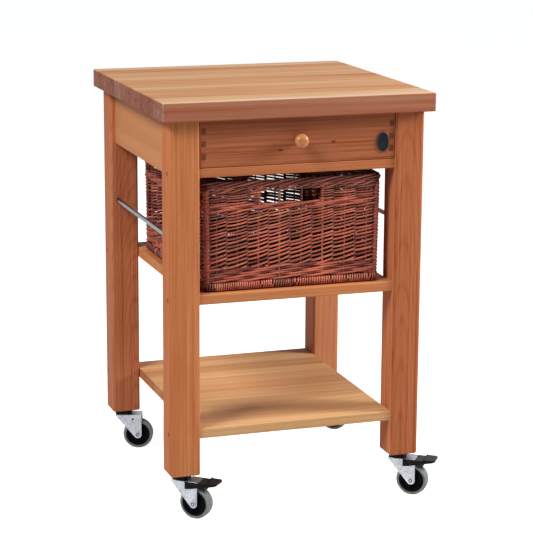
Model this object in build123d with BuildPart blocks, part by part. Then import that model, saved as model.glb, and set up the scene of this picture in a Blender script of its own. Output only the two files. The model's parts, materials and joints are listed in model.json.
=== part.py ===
from build123d import *

import os
from math import copysign, cos, pi, radians, sin

os.makedirs("parts", exist_ok=True)

# Kitchen trolley, in millimetres. The origin is the middle of the frame at floor level.
# X points to the right, Y to the back (the drawer opens towards -Y) and Z up.

# Clearances
fit_gap = 0.1        # glued, driven or screwed pieces in their holes, each side
run_gap = 0.05       # a turning pin in its bore, on the radius
seat_gap = 0.3       # a sliding, turning or woven piece over what carries it

# Worktop and legs
total_height = 900.0
top_width = 600.0
top_depth = 600.0
top_thick = 40.0
top_edge_radius = 3.0
leg_size = 65.0
leg_overhang = 18.0          # worktop edge to the legs' outer faces
leg_edge_radius = 6.0
leg_foot_chamfer = 2.0

# Aprons under the worktop
apron_thick = 20.0
apron_height = 121.0
apron_inset = 12.0           # behind the legs' outer faces
dowel_radius = 5.0
dowel_length = 50.0
dowel_margin = 30.0          # dowel axis to the apron's upper or lower edge

# Shelves, and the rail under the drawer
front_setback = 5.0          # behind the legs' outer faces, at the front and at the back
shelf_thick = 22.0
shelf_edge_radius = 3.0
middle_shelf_top = 491.0
lower_shelf_top = 199.0
rail_thick = 20.0
rail_edge_radius = 2.0

# Long screws through the legs, under wooden plugs
screw_setback = 20.0         # screw axis behind the leg's front or back face
screw_radius = 2.5
screw_reach = 40.0           # into the shelf or rail
screw_head_radius = 4.8
screw_head_height = 4.0
plug_radius = 5.0
plug_length = 10.0

# Towel rails on both sides
towel_rail_radius = 5.0
towel_rail_height = 606.0
towel_rail_inset = 16.0      # rod axis behind the legs' outer faces
towel_rail_seat = 20.0       # into each leg

# Brackets that hold the worktop
bracket_leg = 25.0
bracket_thick = 2.0
bracket_width = 20.0
bracket_spread = 110.0       # bracket to the middle of its apron
bracket_screw_place = 15.0   # screw axis to the bracket's corner
wood_screw_radius = 2.0
wood_screw_head_radius = 3.8
wood_screw_head_height = 2.5
wood_screw_reach = 14.0      # into the wood

# Drawer
drawer_gap = 1.0             # around the drawer front
drawer_front_thick = 18.0
drawer_edge_radius = 1.5
drawer_side_thick = 10.0
drawer_side_inset = 3.0      # behind the ends of the drawer front
drawer_side_headroom = 10.0  # below the worktop
drawer_back_thick = 12.0
drawer_back_room = 45.0      # behind the drawer, to the back apron
drawer_panel_thick = 5.0
drawer_panel_rise = 10.0     # panel's underside above the drawer's lower edge
groove_depth = 4.0
tail_height = 13.0
tail_pitch = 27.0
tail_count = 3
runner_ledge = 16.0          # under the drawer side, beyond its inner face
runner_guide_height = 30.0
runner_screw_spread = 150.0

# Knob and oval plate on the drawer front
knob_radius = 15.0
knob_length = 29.0
knob_neck_radius = 7.5
knob_base_radius = 9.5
knob_base_length = 2.0
knob_ball_start = 9.0        # where the waist meets the ball
knob_crown = 2.0             # height of the ball's flat crown
knob_screw_reach = 14.0
badge_width = 28.0
badge_height = 44.0
badge_thick = 1.5
badge_end_margin = 27.5      # badge axis to the end of the drawer front
badge_drop = 13.0            # badge axis below the middle of the drawer front

# Basket on the middle shelf
basket_left_gap = 10.0       # to the left legs
basket_right_gap = 22.0      # to the right legs
basket_front_setback = 16.0  # behind the legs' front faces
basket_headroom = 12.0       # below the drawer rail
basket_taper = 4.0           # narrower at the foot, each side
basket_corner_radius = 26.0
basket_wall = 9.0
basket_rim_height = 20.0
basket_rim_bulge = 4.0       # rim beyond the wall, inside and outside
basket_foot_height = 18.0
basket_foot_bulge = 2.0
basket_base_thick = 8.0
window_width = 40.0
window_height = 28.0
window_post = 6.0
window_drop = 3.0            # below the rim
window_count = 3
window_shift = 6.5           # windows to the left of the basket's middle
stakes_across = 16           # bays between the corner posts, front and back
stakes_deep = 20             # bays along each side
weave_swing = 4.0            # the weave lies this much deeper at every second stake
post_rise = 2.0              # corner posts beyond the wall
post_half = 0.35             # half a corner post and the groove beside it, in bays
post_groove = 0.5
wale_groove = 2.5            # between the thick rows
low_wale_start = 3.7         # first thick row above the foot
low_wale_height = 7.0
low_wale_count = 4
middle_wale_height = 6.5     # thick rows right under the windows
middle_wale_count = 2

# Casters
wheel_radius = 35.0
wheel_width = 24.0
tyre_thick = 7.0
tyre_edge_radius = 5.0
hub_recess = 1.0             # hub face behind the tyre's side
hub_dish_radius = 22.0
hub_dish_depth = 3.0
hub_step_radius = 15.0
hub_step_depth = 2.0
hub_boss_radius = 9.0
axle_radius = 4.0
axle_head_radius = 6.5
axle_head_height = 2.0
caster_trail = 34.5          # swivel axis to wheel axle
caster_head = 27.0           # wheel top to the leg's foot
fork_plate = 2.0
fork_web = 3.0
fork_clearance = 3.5         # wheel side to fork plate
fork_back = 18.0             # web behind the swivel axis
fork_shoulder = 2.5          # height of the fork's straight back edge
fork_eye_radius = 9.0
fork_bend_radius = 2.5
stem_radius = 5.0
stem_length = 24.0
stem_flange_radius = 15.0
stem_flange_height = 3.0
swivel_height = 12.5         # leg's foot to the top of the fork
pin_radius = 5.5
rivet_radius = 9.0
rivet_height = 3.0
race_radius = 13.0
ring_radius = 20.0
ring_wall = 3.0
insert_radius = 8.0
insert_length = 26.0

# Brake pedal on the front casters, in the caster's own plane
brake_pivot_ahead = 22.7     # in front of the swivel axis
brake_pivot_rise = 3.0       # above the wheel's top
brake_pin_radius = 2.5
brake_pin_head_radius = 4.2
brake_pin_head_height = 1.5
pedal_cheek = 2.5
pedal_side_gap = 0.5
pedal_rear = 16.0            # all from the swivel axis, along the trail
pedal_knee = 30.0
pedal_pad_start = 47.0
pedal_ridge_at = 61.0
pedal_pad_end = 88.0
pedal_rear_low = -5.0        # all from the pivot, upwards
pedal_knee_low = -3.5
pedal_tip_low = 9.0
pedal_tip_high = 13.5
pedal_rear_high = 11.0
pedal_ridge_width = 4.0
pedal_ridge_height = 2.0
pedal_corner_radius = 7.0
shoe_start = 50.0
shoe_length = 9.0
shoe_width = 18.0
shoe_lift = 4.6              # above the tyre when the brake is off

# Which way each caster trails, in degrees from +X, and whether it has a brake
caster_headings = {
    "front_left": -42.0,
    "front_right": -36.0,
    "back_left": -20.0,
    "back_right": -30.0,
}
braked_casters = ("front_left", "front_right")

# Places that follow from the sizes above
half_front = drawer_front_thick / 2
leg_outer_x = top_width / 2 - leg_overhang
leg_outer_y = top_depth / 2 - leg_overhang
leg_inner_x = leg_outer_x - leg_size
leg_inner_y = leg_outer_y - leg_size
leg_x = leg_outer_x - leg_size / 2
leg_y = leg_outer_y - leg_size / 2
leg_foot = 2 * wheel_radius + caster_head
leg_top = total_height - top_thick
apron_x = leg_outer_x - apron_inset - apron_thick / 2
apron_y = leg_outer_y - apron_inset - apron_thick / 2
apron_inner_x = apron_x - apron_thick / 2
apron_inner_y = apron_y - apron_thick / 2
apron_bottom = leg_top - apron_height
dowel_heights = (apron_bottom + dowel_margin, leg_top - dowel_margin)
shelf_depth = 2 * (leg_outer_y - front_setback)
rail_front = leg_outer_y - front_setback
rail_top = apron_bottom + rail_thick
rail_depth = rail_front - leg_inner_y
screw_y = leg_outer_y - screw_setback
rail_screw_z = apron_bottom + rail_thick / 2
shelf_screw_heights = (middle_shelf_top - shelf_thick / 2, lower_shelf_top - shelf_thick / 2)
screw_heights = {"front": (rail_screw_z, *shelf_screw_heights), "back": shelf_screw_heights}
screw_head_depth = plug_length + screw_head_height
towel_rail_x = leg_outer_x - towel_rail_inset

drawer_half = leg_inner_x - drawer_gap
drawer_bottom = rail_top + drawer_gap
drawer_top = leg_top - drawer_gap
drawer_mid = (drawer_bottom + drawer_top) / 2
drawer_face = -(leg_outer_y - front_setback)
drawer_front_back = drawer_face + drawer_front_thick
drawer_side_outer = drawer_half - drawer_side_inset
drawer_side_inner = drawer_side_outer - drawer_side_thick
drawer_side_x = (drawer_side_outer + drawer_side_inner) / 2
drawer_side_top = leg_top - drawer_side_headroom
drawer_end = apron_inner_y - drawer_back_room
drawer_side_y = (drawer_front_back + drawer_end) / 2
drawer_panel_bottom = drawer_bottom + drawer_panel_rise
drawer_panel_top = drawer_panel_bottom + drawer_panel_thick
tail_heights = [drawer_mid + (i - (tail_count - 1) / 2) * tail_pitch for i in range(tail_count)]
runner_top = drawer_bottom - seat_gap
runner_guide_x = drawer_side_outer + seat_gap
runner_ledge_x = drawer_side_inner - runner_ledge
runner_screw_z = runner_top + runner_guide_height / 2
badge_x = drawer_half - badge_end_margin
badge_z = drawer_mid - badge_drop

basket_bottom = middle_shelf_top + seat_gap
basket_top = apron_bottom - basket_headroom
basket_half_x = leg_inner_x - (basket_left_gap + basket_right_gap) / 2
basket_x = (basket_left_gap - basket_right_gap) / 2
basket_front = -(leg_outer_y - basket_front_setback)
basket_length = leg_inner_y - basket_front
basket_y = (leg_inner_y + basket_front) / 2
basket_wall_top = basket_top - basket_rim_height
basket_wall_bottom = basket_bottom + basket_foot_height
window_top = basket_wall_top - window_drop
window_pitch = window_width + window_post
low_wale_bottom = basket_wall_bottom + low_wale_start
low_wale_top = low_wale_bottom + low_wale_count * low_wale_height
middle_wale_bottom = window_top - window_height - middle_wale_count * middle_wale_height

axle_z = wheel_radius
hub_radius = wheel_radius - tyre_thick
fork_inner = wheel_width / 2 + fork_clearance
fork_outer = fork_inner + fork_plate
web_top = leg_foot - swivel_height
ring_bottom = web_top + seat_gap
web_bottom = web_top - fork_web
brake_pivot_z = 2 * wheel_radius + brake_pivot_rise
pedal_inner = fork_outer + pedal_side_gap
pedal_outer = pedal_inner + pedal_cheek
pedal_outline = (
    (pedal_rear, pedal_rear_low),
    (pedal_knee, pedal_knee_low),
    (pedal_pad_end, pedal_tip_low),
    (pedal_pad_end, pedal_tip_high),
    (pedal_ridge_at + pedal_ridge_width, pedal_tip_high),
    (pedal_ridge_at + pedal_ridge_width / 2, pedal_tip_high + pedal_ridge_height),
    (pedal_ridge_at, pedal_rear_high),
    (pedal_rear, pedal_rear_high),
)

sides = {"left": -1, "right": 1}
ends = {"front": -1, "back": 1}
base_up = (Align.CENTER, Align.CENTER, Align.MIN)


def pedal_low(ahead):
    # Height of the pedal's underside, in front of its knee
    slope = (pedal_tip_low - pedal_knee_low) / (pedal_pad_end - pedal_knee)
    return brake_pivot_z + pedal_knee_low + slope * (ahead - pedal_knee)


def save(builder, label):
    builder.part.label = label
    export_step(builder.part, f"parts/{label}.step")


def bracket_planes():
    # Each plane lies where an apron's inner face meets the worktop: local Z along the apron's
    # length, local X away from the apron and local Y up to the worktop.
    planes = []
    for along in (-bracket_spread, bracket_spread):
        for sx in sides.values():
            planes.append(Plane((sx * apron_inner_x, along, leg_top), (-sx, 0, 0), (0, sx, 0)))
        planes.append(Plane((along, apron_inner_y, leg_top), (0, -1, 0), (-1, 0, 0)))
    return planes


def bracket_screw_planes(into_top):
    # Seats of the bracket screws' heads; local Z points out of the wood.
    planes = []
    for corner in bracket_planes():
        if into_top:
            place = corner.origin + corner.x_dir * bracket_screw_place - corner.y_dir * bracket_thick
            planes.append(Plane(place, corner.x_dir, -corner.y_dir))
        else:
            place = corner.origin - corner.y_dir * bracket_screw_place + corner.x_dir * bracket_thick
            planes.append(Plane(place, corner.z_dir, corner.x_dir))
    return planes


def runner_screw_planes(sx):
    # Where the runner's screws cross the apron's inner face; local Z points into the trolley.
    rows = (-runner_screw_spread, 0, runner_screw_spread)
    return [Plane((sx * apron_inner_x, y, runner_screw_z), (0, 1, 0), (-sx, 0, 0)) for y in rows]


def tail_places(sx):
    # Middles of the tails that lock a drawer side into the drawer front
    return [(sx * drawer_side_x, drawer_face + half_front, z) for z in tail_heights]


def leg_screw_planes(sx, end):
    # Mouths of the plugged holes on a leg's outer side; local Z points away from the leg.
    y = ends[end] * screw_y
    return [Plane((sx * leg_outer_x, y, z), (0, 1, 0), (sx, 0, 0)) for z in screw_heights[end]]


# Worktop
with BuildPart() as worktop:
    with Locations((0, 0, leg_top)):
        Box(top_width, top_depth, top_thick, align=base_up)
    fillet(worktop.edges(), top_edge_radius)
    with Locations(*bracket_screw_planes(True)):
        Hole(wood_screw_radius + fit_gap, bracket_thick + wood_screw_reach + fit_gap)
save(worktop, "worktop")

# Four legs with their sockets
for side, sx in sides.items():
    for end, sy in ends.items():
        with BuildPart() as leg:
            with Locations((sx * leg_x, sy * leg_y, leg_foot)):
                Box(leg_size, leg_size, leg_top - leg_foot, align=base_up)
            fillet(leg.edges().filter_by(Axis.Z), leg_edge_radius)
            chamfer(leg.faces().sort_by(Axis.Z)[0].edges(), leg_foot_chamfer)
            with Locations(*leg_screw_planes(sx, end)):
                CounterBoreHole(
                    screw_radius + fit_gap, plug_radius + fit_gap, screw_head_depth, leg_size
                )
            for z in dowel_heights:
                with Locations(Plane((sx * apron_x, sy * leg_inner_y, z), (1, 0, 0), (0, -sy, 0))):
                    Hole(dowel_radius + fit_gap, dowel_length / 2 + fit_gap)
                if end == "back":
                    with Locations(Plane((sx * leg_inner_x, apron_y, z), (0, 1, 0), (-sx, 0, 0))):
                        Hole(dowel_radius + fit_gap, dowel_length / 2 + fit_gap)
            rod_end = (sx * towel_rail_x, sy * leg_inner_y, towel_rail_height)
            with Locations(Plane(rod_end, (1, 0, 0), (0, -sy, 0))):
                Hole(towel_rail_radius + fit_gap, towel_rail_seat + fit_gap)
            with Locations(Plane((sx * leg_x, sy * leg_y, leg_foot), (1, 0, 0), (0, 0, -1))):
                Hole(insert_radius + fit_gap, insert_length + fit_gap)
        save(leg, f"leg_{end}_{side}")

# Aprons
for side, sx in sides.items():
    with BuildPart() as side_apron:
        with Locations((sx * apron_x, 0, apron_bottom)):
            Box(apron_thick, 2 * leg_inner_y, apron_height, align=base_up)
        for sy in ends.values():
            for z in dowel_heights:
                with Locations(Plane((sx * apron_x, sy * leg_inner_y, z), (1, 0, 0), (0, sy, 0))):
                    Hole(dowel_radius + fit_gap, dowel_length / 2 + fit_gap)
        with Locations(*[p for p in bracket_screw_planes(False) if p.origin.X * sx > apron_inner_x / 2]):
            Hole(wood_screw_radius + fit_gap, bracket_thick + wood_screw_reach + fit_gap)
        with Locations(*runner_screw_planes(sx)):
            Hole(wood_screw_radius + fit_gap, wood_screw_reach + fit_gap)
    save(side_apron, f"side_apron_{side}")

with BuildPart() as back_apron:
    with Locations((0, apron_y, apron_bottom)):
        Box(2 * leg_inner_x, apron_thick, apron_height, align=base_up)
    for sx in sides.values():
        for z in dowel_heights:
            with Locations(Plane((sx * leg_inner_x, apron_y, z), (0, 1, 0), (sx, 0, 0))):
                Hole(dowel_radius + fit_gap, dowel_length / 2 + fit_gap)
    with Locations(*[p for p in bracket_screw_planes(False) if p.origin.Y > apron_inner_y / 2]):
        Hole(wood_screw_radius + fit_gap, bracket_thick + wood_screw_reach + fit_gap)
save(back_apron, "back_apron")

with BuildPart() as apron_dowels:
    for z in dowel_heights:
        for sx in sides.values():
            for sy in ends.values():
                with Locations(Plane((sx * apron_x, sy * leg_inner_y, z), (1, 0, 0), (0, 1, 0))):
                    Cylinder(dowel_radius, dowel_length)
            with Locations(Plane((sx * leg_inner_x, apron_y, z), (0, 1, 0), (1, 0, 0))):
                Cylinder(dowel_radius, dowel_length)
save(apron_dowels, "apron_dowels")


# Rail under the drawer, and the two shelves
def cross_board(depth, y, top, thick, edge_radius, screw_rows):
    with BuildPart() as board:
        with Locations((0, y, top - thick)):
            Box(2 * leg_inner_x, depth, thick, align=base_up)
        fillet(board.edges().filter_by(Axis.X), edge_radius)
        for sx in sides.values():
            for row in screw_rows:
                with Locations(Plane((sx * leg_inner_x, row, top - thick / 2), (0, 1, 0), (sx, 0, 0))):
                    Hole(screw_radius + fit_gap, screw_reach + fit_gap)
    return board


rail_y = -(rail_front + leg_inner_y) / 2
drawer_rail = cross_board(rail_depth, rail_y, rail_top, rail_thick, rail_edge_radius, (-screw_y,))
save(drawer_rail, "drawer_rail")
for label, shelf_top in (("middle_shelf", middle_shelf_top), ("lower_shelf", lower_shelf_top)):
    rows = (-screw_y, screw_y)
    save(cross_board(shelf_depth, 0, shelf_top, shelf_thick, shelf_edge_radius, rows), label)

with BuildPart() as shelf_screws:
    for sx in sides.values():
        for end in ends:
            with Locations(*leg_screw_planes(sx, end)):
                with Locations((0, 0, -screw_head_depth)):
                    Cylinder(screw_head_radius, screw_head_height, align=base_up)
                with Locations((0, 0, -leg_size - screw_reach)):
                    Cylinder(screw_radius, leg_size + screw_reach - screw_head_depth, align=base_up)
save(shelf_screws, "shelf_screws")

with BuildPart() as leg_plugs:
    for sx in sides.values():
        for end in ends:
            with Locations(*leg_screw_planes(sx, end)):
                with Locations((0, 0, -plug_length)):
                    Cylinder(plug_radius, plug_length, align=base_up)
save(leg_plugs, "leg_plugs")

# Towel rails
for side, sx in sides.items():
    with BuildPart() as towel_rail:
        with Locations(Plane((sx * towel_rail_x, 0, towel_rail_height), (1, 0, 0), (0, 1, 0))):
            Cylinder(towel_rail_radius, 2 * (leg_inner_y + towel_rail_seat))
        chamfer(towel_rail.edges().filter_by(GeomType.CIRCLE), towel_rail_radius / 5)
    save(towel_rail, f"towel_rail_{side}")

# Brackets under the worktop and their screws
with BuildPart() as worktop_brackets:
    for corner in bracket_planes():
        with BuildSketch(corner):
            with BuildLine():
                Polyline(
                    (0, 0),
                    (bracket_leg, 0),
                    (bracket_leg, -bracket_thick),
                    (bracket_thick, -bracket_thick),
                    (bracket_thick, -bracket_leg),
                    (0, -bracket_leg),
                    close=True,
                )
            make_face()
        extrude(amount=bracket_width / 2, both=True)
    with Locations(*bracket_screw_planes(True), *bracket_screw_planes(False)):
        Hole(wood_screw_radius + fit_gap, bracket_thick)
save(worktop_brackets, "worktop_brackets")

with BuildPart() as worktop_screws:
    with Locations(*bracket_screw_planes(True), *bracket_screw_planes(False)):
        Cylinder(wood_screw_head_radius, wood_screw_head_height, align=base_up)
        with Locations((0, 0, -bracket_thick - wood_screw_reach)):
            Cylinder(wood_screw_radius, bracket_thick + wood_screw_reach, align=base_up)
save(worktop_screws, "worktop_screws")

# Drawer runners: a ledge under the drawer's side and a guide beside it
guide_width = apron_inner_x - runner_guide_x
for side, sx in sides.items():
    with BuildPart() as runner:
        with BuildSketch(Plane((0, -leg_inner_y, 0), (sx, 0, 0), (0, -sx, 0))):
            with BuildLine():
                Polyline(
                    (runner_ledge_x, apron_bottom),
                    (apron_inner_x, apron_bottom),
                    (apron_inner_x, runner_top + runner_guide_height),
                    (runner_guide_x, runner_top + runner_guide_height),
                    (runner_guide_x, runner_top),
                    (runner_ledge_x, runner_top),
                    close=True,
                )
            make_face()
        extrude(amount=2 * leg_inner_y, dir=(0, 1, 0))
        with Locations(*runner_screw_planes(sx)):
            with Locations((0, 0, guide_width)):
                CounterBoreHole(
                    wood_screw_radius + fit_gap,
                    wood_screw_head_radius + fit_gap,
                    guide_width / 2,
                    guide_width,
                )
    save(runner, f"drawer_runner_{side}")

with BuildPart() as runner_screws:
    for sx in sides.values():
        with Locations(*runner_screw_planes(sx)):
            with Locations((0, 0, -wood_screw_reach)):
                Cylinder(wood_screw_radius, wood_screw_reach + guide_width / 2, align=base_up)
            with Locations((0, 0, guide_width / 2)):
                Cylinder(wood_screw_head_radius, wood_screw_head_height, align=base_up)
save(runner_screws, "runner_screws")

# Drawer front, slotted for the sides' tails and grooved for the bottom panel
with BuildPart() as drawer_front:
    with Locations((0, drawer_face + half_front, drawer_bottom)):
        Box(2 * drawer_half, drawer_front_thick, drawer_top - drawer_bottom, align=base_up)
    fillet(drawer_front.faces().sort_by(Axis.Y)[0].edges(), drawer_edge_radius)
    with Locations(*tail_places(-1), *tail_places(1)):
        Box(
            drawer_side_thick + 2 * fit_gap,
            drawer_front_thick,
            tail_height + 2 * fit_gap,
            mode=Mode.SUBTRACT,
        )
    with Locations((0, drawer_front_back, drawer_panel_bottom - fit_gap)):
        Box(
            2 * (drawer_side_inner + groove_depth),
            2 * groove_depth,
            drawer_panel_thick + 2 * fit_gap,
            align=base_up,
            mode=Mode.SUBTRACT,
        )
    with Locations(Plane((0, drawer_face, drawer_mid), (1, 0, 0), (0, -1, 0))):
        Hole(wood_screw_radius + fit_gap)
save(drawer_front, "drawer_front")

for side, sx in sides.items():
    with BuildPart() as drawer_side:
        with Locations((sx * drawer_side_x, drawer_side_y, drawer_bottom)):
            Box(
                drawer_side_thick,
                drawer_end - drawer_front_back,
                drawer_side_top - drawer_bottom,
                align=base_up,
            )
        with Locations(*tail_places(sx)):
            Box(drawer_side_thick, drawer_front_thick, tail_height)
        with Locations((sx * drawer_side_inner, drawer_side_y, drawer_panel_bottom - fit_gap)):
            Box(
                2 * groove_depth,
                drawer_end - drawer_front_back,
                drawer_panel_thick + 2 * fit_gap,
                align=base_up,
                mode=Mode.SUBTRACT,
            )
    save(drawer_side, f"drawer_side_{side}")

with BuildPart() as drawer_back:
    with Locations((0, drawer_end - drawer_back_thick / 2, drawer_panel_top + fit_gap)):
        Box(
            2 * drawer_side_inner,
            drawer_back_thick,
            drawer_side_top - drawer_panel_top - fit_gap,
            align=base_up,
        )
save(drawer_back, "drawer_back")

panel_start = drawer_front_back - groove_depth + fit_gap
with BuildPart() as drawer_bottom_panel:
    with Locations((0, (panel_start + drawer_end) / 2, drawer_panel_bottom)):
        Box(
            2 * (drawer_side_inner + groove_depth - fit_gap),
            drawer_end - panel_start,
            drawer_panel_thick,
            align=base_up,
        )
save(drawer_bottom_panel, "drawer_bottom_panel")

# Turned knob: a foot, a waist and a flattened ball, on a screw from inside the drawer
with BuildPart() as drawer_knob:
    with BuildSketch(Plane((0, drawer_face, drawer_mid), (1, 0, 0), (0, 0, 1))):
        with BuildLine():
            Polyline(
                (0, -knob_length),
                (0, 0),
                (knob_base_radius, 0),
                (knob_base_radius, -knob_base_length),
            )
            ThreePointArc(
                (knob_base_radius, -knob_base_length),
                (knob_neck_radius, -(knob_base_length + knob_ball_start) / 2),
                (knob_base_radius, -knob_ball_start),
            )
            ThreePointArc(
                (knob_base_radius, -knob_ball_start),
                (knob_radius, -(knob_ball_start + knob_length - knob_crown) / 2),
                (knob_base_radius, knob_crown - knob_length),
            )
            crown_radius = (knob_base_radius**2 + knob_crown**2) / (2 * knob_crown)
            RadiusArc((knob_base_radius, knob_crown - knob_length), (0, -knob_length), crown_radius)
        make_face()
    revolve(axis=Axis((0, drawer_face, drawer_mid), (0, 1, 0)))
    with Locations(Plane((0, drawer_face, drawer_mid), (1, 0, 0), (0, 1, 0))):
        Hole(wood_screw_radius + fit_gap, knob_screw_reach + fit_gap)
save(drawer_knob, "drawer_knob")

with BuildPart() as knob_screw:
    with Locations(Plane((0, drawer_front_back, drawer_mid), (1, 0, 0), (0, 1, 0))):
        Cylinder(wood_screw_head_radius, wood_screw_head_height, align=base_up)
        with Locations((0, 0, -drawer_front_thick - knob_screw_reach)):
            Cylinder(wood_screw_radius, drawer_front_thick + knob_screw_reach, align=base_up)
save(knob_screw, "knob_screw")

with BuildPart() as drawer_badge:
    with BuildSketch(Plane((badge_x, drawer_face, badge_z), (1, 0, 0), (0, -1, 0))):
        Ellipse(badge_width / 2, badge_height / 2)
    extrude(amount=badge_thick)
    fillet(drawer_badge.faces().sort_by(Axis.Y)[0].edges(), badge_thick / 2)
save(drawer_badge, "drawer_badge")


# Basket: rounded box that narrows a little towards its foot
def basket_narrowing(z):
    share = (basket_wall_top - z) / (basket_wall_top - basket_wall_bottom)
    return basket_taper * min(1, max(0, share))


def basket_outline(z, grow):
    inset = basket_narrowing(z) - grow
    with BuildSketch(Plane((basket_x, basket_y, z))) as outline:
        RectangleRounded(
            2 * (basket_half_x - inset), basket_length - 2 * inset, basket_corner_radius + grow
        )
    return outline.sketch


def weave_point(side, stake, depth, z):
    # A point of the woven wall in plan, at this depth behind its outer face. Sides run from the
    # front to the right, back and left, and stakes are counted along each from its corner post.
    halves = (basket_half_x, basket_length / 2)
    centre_along = halves[side % 2] - basket_narrowing(z) - basket_corner_radius
    centre_out = halves[(side + 1) % 2] - basket_narrowing(z) - basket_corner_radius
    middle_radius = basket_corner_radius - basket_wall / 2
    share = stake / (stakes_across, stakes_deep)[side % 2] - 0.5
    distance = share * (2 * centre_along + middle_radius * pi / 2)
    if side == 0:
        distance -= window_shift * cos(pi * share)
    angle = copysign(max(0, abs(distance) - centre_along) / middle_radius, distance)
    along = copysign(min(abs(distance), centre_along), distance)
    along += (basket_corner_radius - depth) * sin(angle)
    out = centre_out + (basket_corner_radius - depth) * cos(angle)
    return Vector(along, -out).rotate(Axis.Z, 90 * side)


def weave_outline(z):
    # The weave lies in front of odd stakes and behind even ones, between wound corner posts.
    points = []
    for side in range(4):
        bays = (stakes_across, stakes_deep)[side % 2]
        stakes = [(0, -post_rise), (post_half, -post_rise), (post_groove, weave_swing)]
        stakes += [(stake, 0 if stake % 2 else weave_swing) for stake in range(1, bays)]
        stakes += [(bays - post_groove, weave_swing), (bays - post_half, -post_rise)]
        points += [weave_point(side, stake, depth, z) for stake, depth in stakes]
    with BuildSketch(Plane((basket_x, basket_y, z))) as outline:
        with BuildLine():
            Polyline(*points, close=True)
        make_face()
    return outline.sketch


def wale_outlines(bottom, height, count):
    # Thick rows, each highest at its middle, with a groove above and below it
    outlines = [basket_outline(bottom, -wale_groove)]
    for row in range(count):
        outlines.append(basket_outline(bottom + (row + 0.5) * height, 0))
        outlines.append(basket_outline(bottom + (row + 1) * height, -wale_groove))
    return outlines


with BuildPart() as basket_walls:
    loft([weave_outline(low_wale_top), weave_outline(basket_wall_top)], ruled=True)
    footing = basket_outline(basket_wall_bottom, -wale_groove)
    loft([footing, *wale_outlines(low_wale_bottom, low_wale_height, low_wale_count)], ruled=True)
    loft(wale_outlines(middle_wale_bottom, middle_wale_height, middle_wale_count), ruled=True)
    loft(
        [basket_outline(basket_wall_bottom, -basket_wall), basket_outline(basket_wall_top, -basket_wall)],
        mode=Mode.SUBTRACT,
    )
    with Locations((basket_x - window_shift, basket_front, window_top - window_height / 2)):
        with GridLocations(window_pitch, 1, window_count, 1):
            Box(window_width, 4 * basket_wall, window_height, mode=Mode.SUBTRACT)
save(basket_walls, "basket_walls")

with BuildPart() as basket_rim:
    add(basket_outline(basket_wall_top, basket_rim_bulge))
    extrude(amount=basket_rim_height)
    add(basket_outline(basket_wall_top, -basket_wall - basket_rim_bulge))
    extrude(amount=basket_rim_height, mode=Mode.SUBTRACT)
    fillet(basket_rim.faces().sort_by(Axis.Z)[-1].edges(), basket_rim_bulge)
save(basket_rim, "basket_rim")

with BuildPart() as basket_foot:
    add(basket_outline(basket_bottom, basket_foot_bulge))
    extrude(amount=basket_foot_height)
    add(basket_outline(basket_bottom, -basket_wall))
    extrude(amount=basket_foot_height, mode=Mode.SUBTRACT)
save(basket_foot, "basket_foot")

with BuildPart() as basket_base:
    add(basket_outline(basket_wall_bottom - basket_base_thick, -basket_wall - fit_gap))
    extrude(amount=basket_base_thick)
save(basket_base, "basket_base")


# Casters: each has a flat side plane through its swivel axis, along its trail
def trail_direction(heading):
    return (cos(radians(heading)), sin(radians(heading)), 0)


def across_direction(heading):
    return (-sin(radians(heading)), cos(radians(heading)), 0)


def leg_centre(name):
    end, side = name.split("_")
    return sides[side] * leg_x, ends[end] * leg_y


def side_plane(name):
    x, y = leg_centre(name)
    heading = caster_headings[name]
    across = across_direction(heading)
    return Plane((x, y, 0), trail_direction(heading), (-across[0], -across[1], 0))


def pin_plane(name, ahead, height):
    x, y = leg_centre(name)
    heading = caster_headings[name]
    trail = trail_direction(heading)
    place = (x + ahead * trail[0], y + ahead * trail[1], height)
    return Plane(place, trail, across_direction(heading))


with BuildPart() as leg_inserts:
    with Locations(*[(*leg_centre(name), leg_foot) for name in caster_headings]):
        Cylinder(insert_radius, insert_length, align=base_up)
        Cylinder(stem_radius + fit_gap, insert_length, align=base_up, mode=Mode.SUBTRACT)
save(leg_inserts, "leg_inserts")

with BuildPart() as caster_stems:
    with Locations(*[(*leg_centre(name), 0) for name in caster_headings]):
        with Locations((0, 0, leg_foot)):
            Cylinder(stem_radius, stem_length, align=base_up)
        with Locations((0, 0, leg_foot - stem_flange_height)):
            Cylinder(stem_flange_radius, stem_flange_height, align=base_up)
        rivet_bottom = web_bottom - seat_gap - rivet_height
        with Locations((0, 0, rivet_bottom)):
            Cylinder(pin_radius, leg_foot - stem_flange_height - rivet_bottom, align=base_up)
            Cylinder(rivet_radius, rivet_height, align=base_up)
save(caster_stems, "caster_stems")

race_height = leg_foot - stem_flange_height - ring_bottom
with BuildPart() as swivel_races:
    with Locations(*[(*leg_centre(name), ring_bottom) for name in caster_headings]):
        Cylinder(race_radius, race_height, align=base_up)
        Cylinder(pin_radius + fit_gap, race_height, align=base_up, mode=Mode.SUBTRACT)
save(swivel_races, "swivel_races")

with BuildPart() as dust_rings:
    with Locations(*[(*leg_centre(name), ring_bottom) for name in caster_headings]):
        Cylinder(ring_radius, leg_foot - ring_bottom, align=base_up)
        Cylinder(ring_radius - ring_wall, leg_foot - ring_bottom, align=base_up, mode=Mode.SUBTRACT)
save(dust_rings, "dust_rings")

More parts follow.
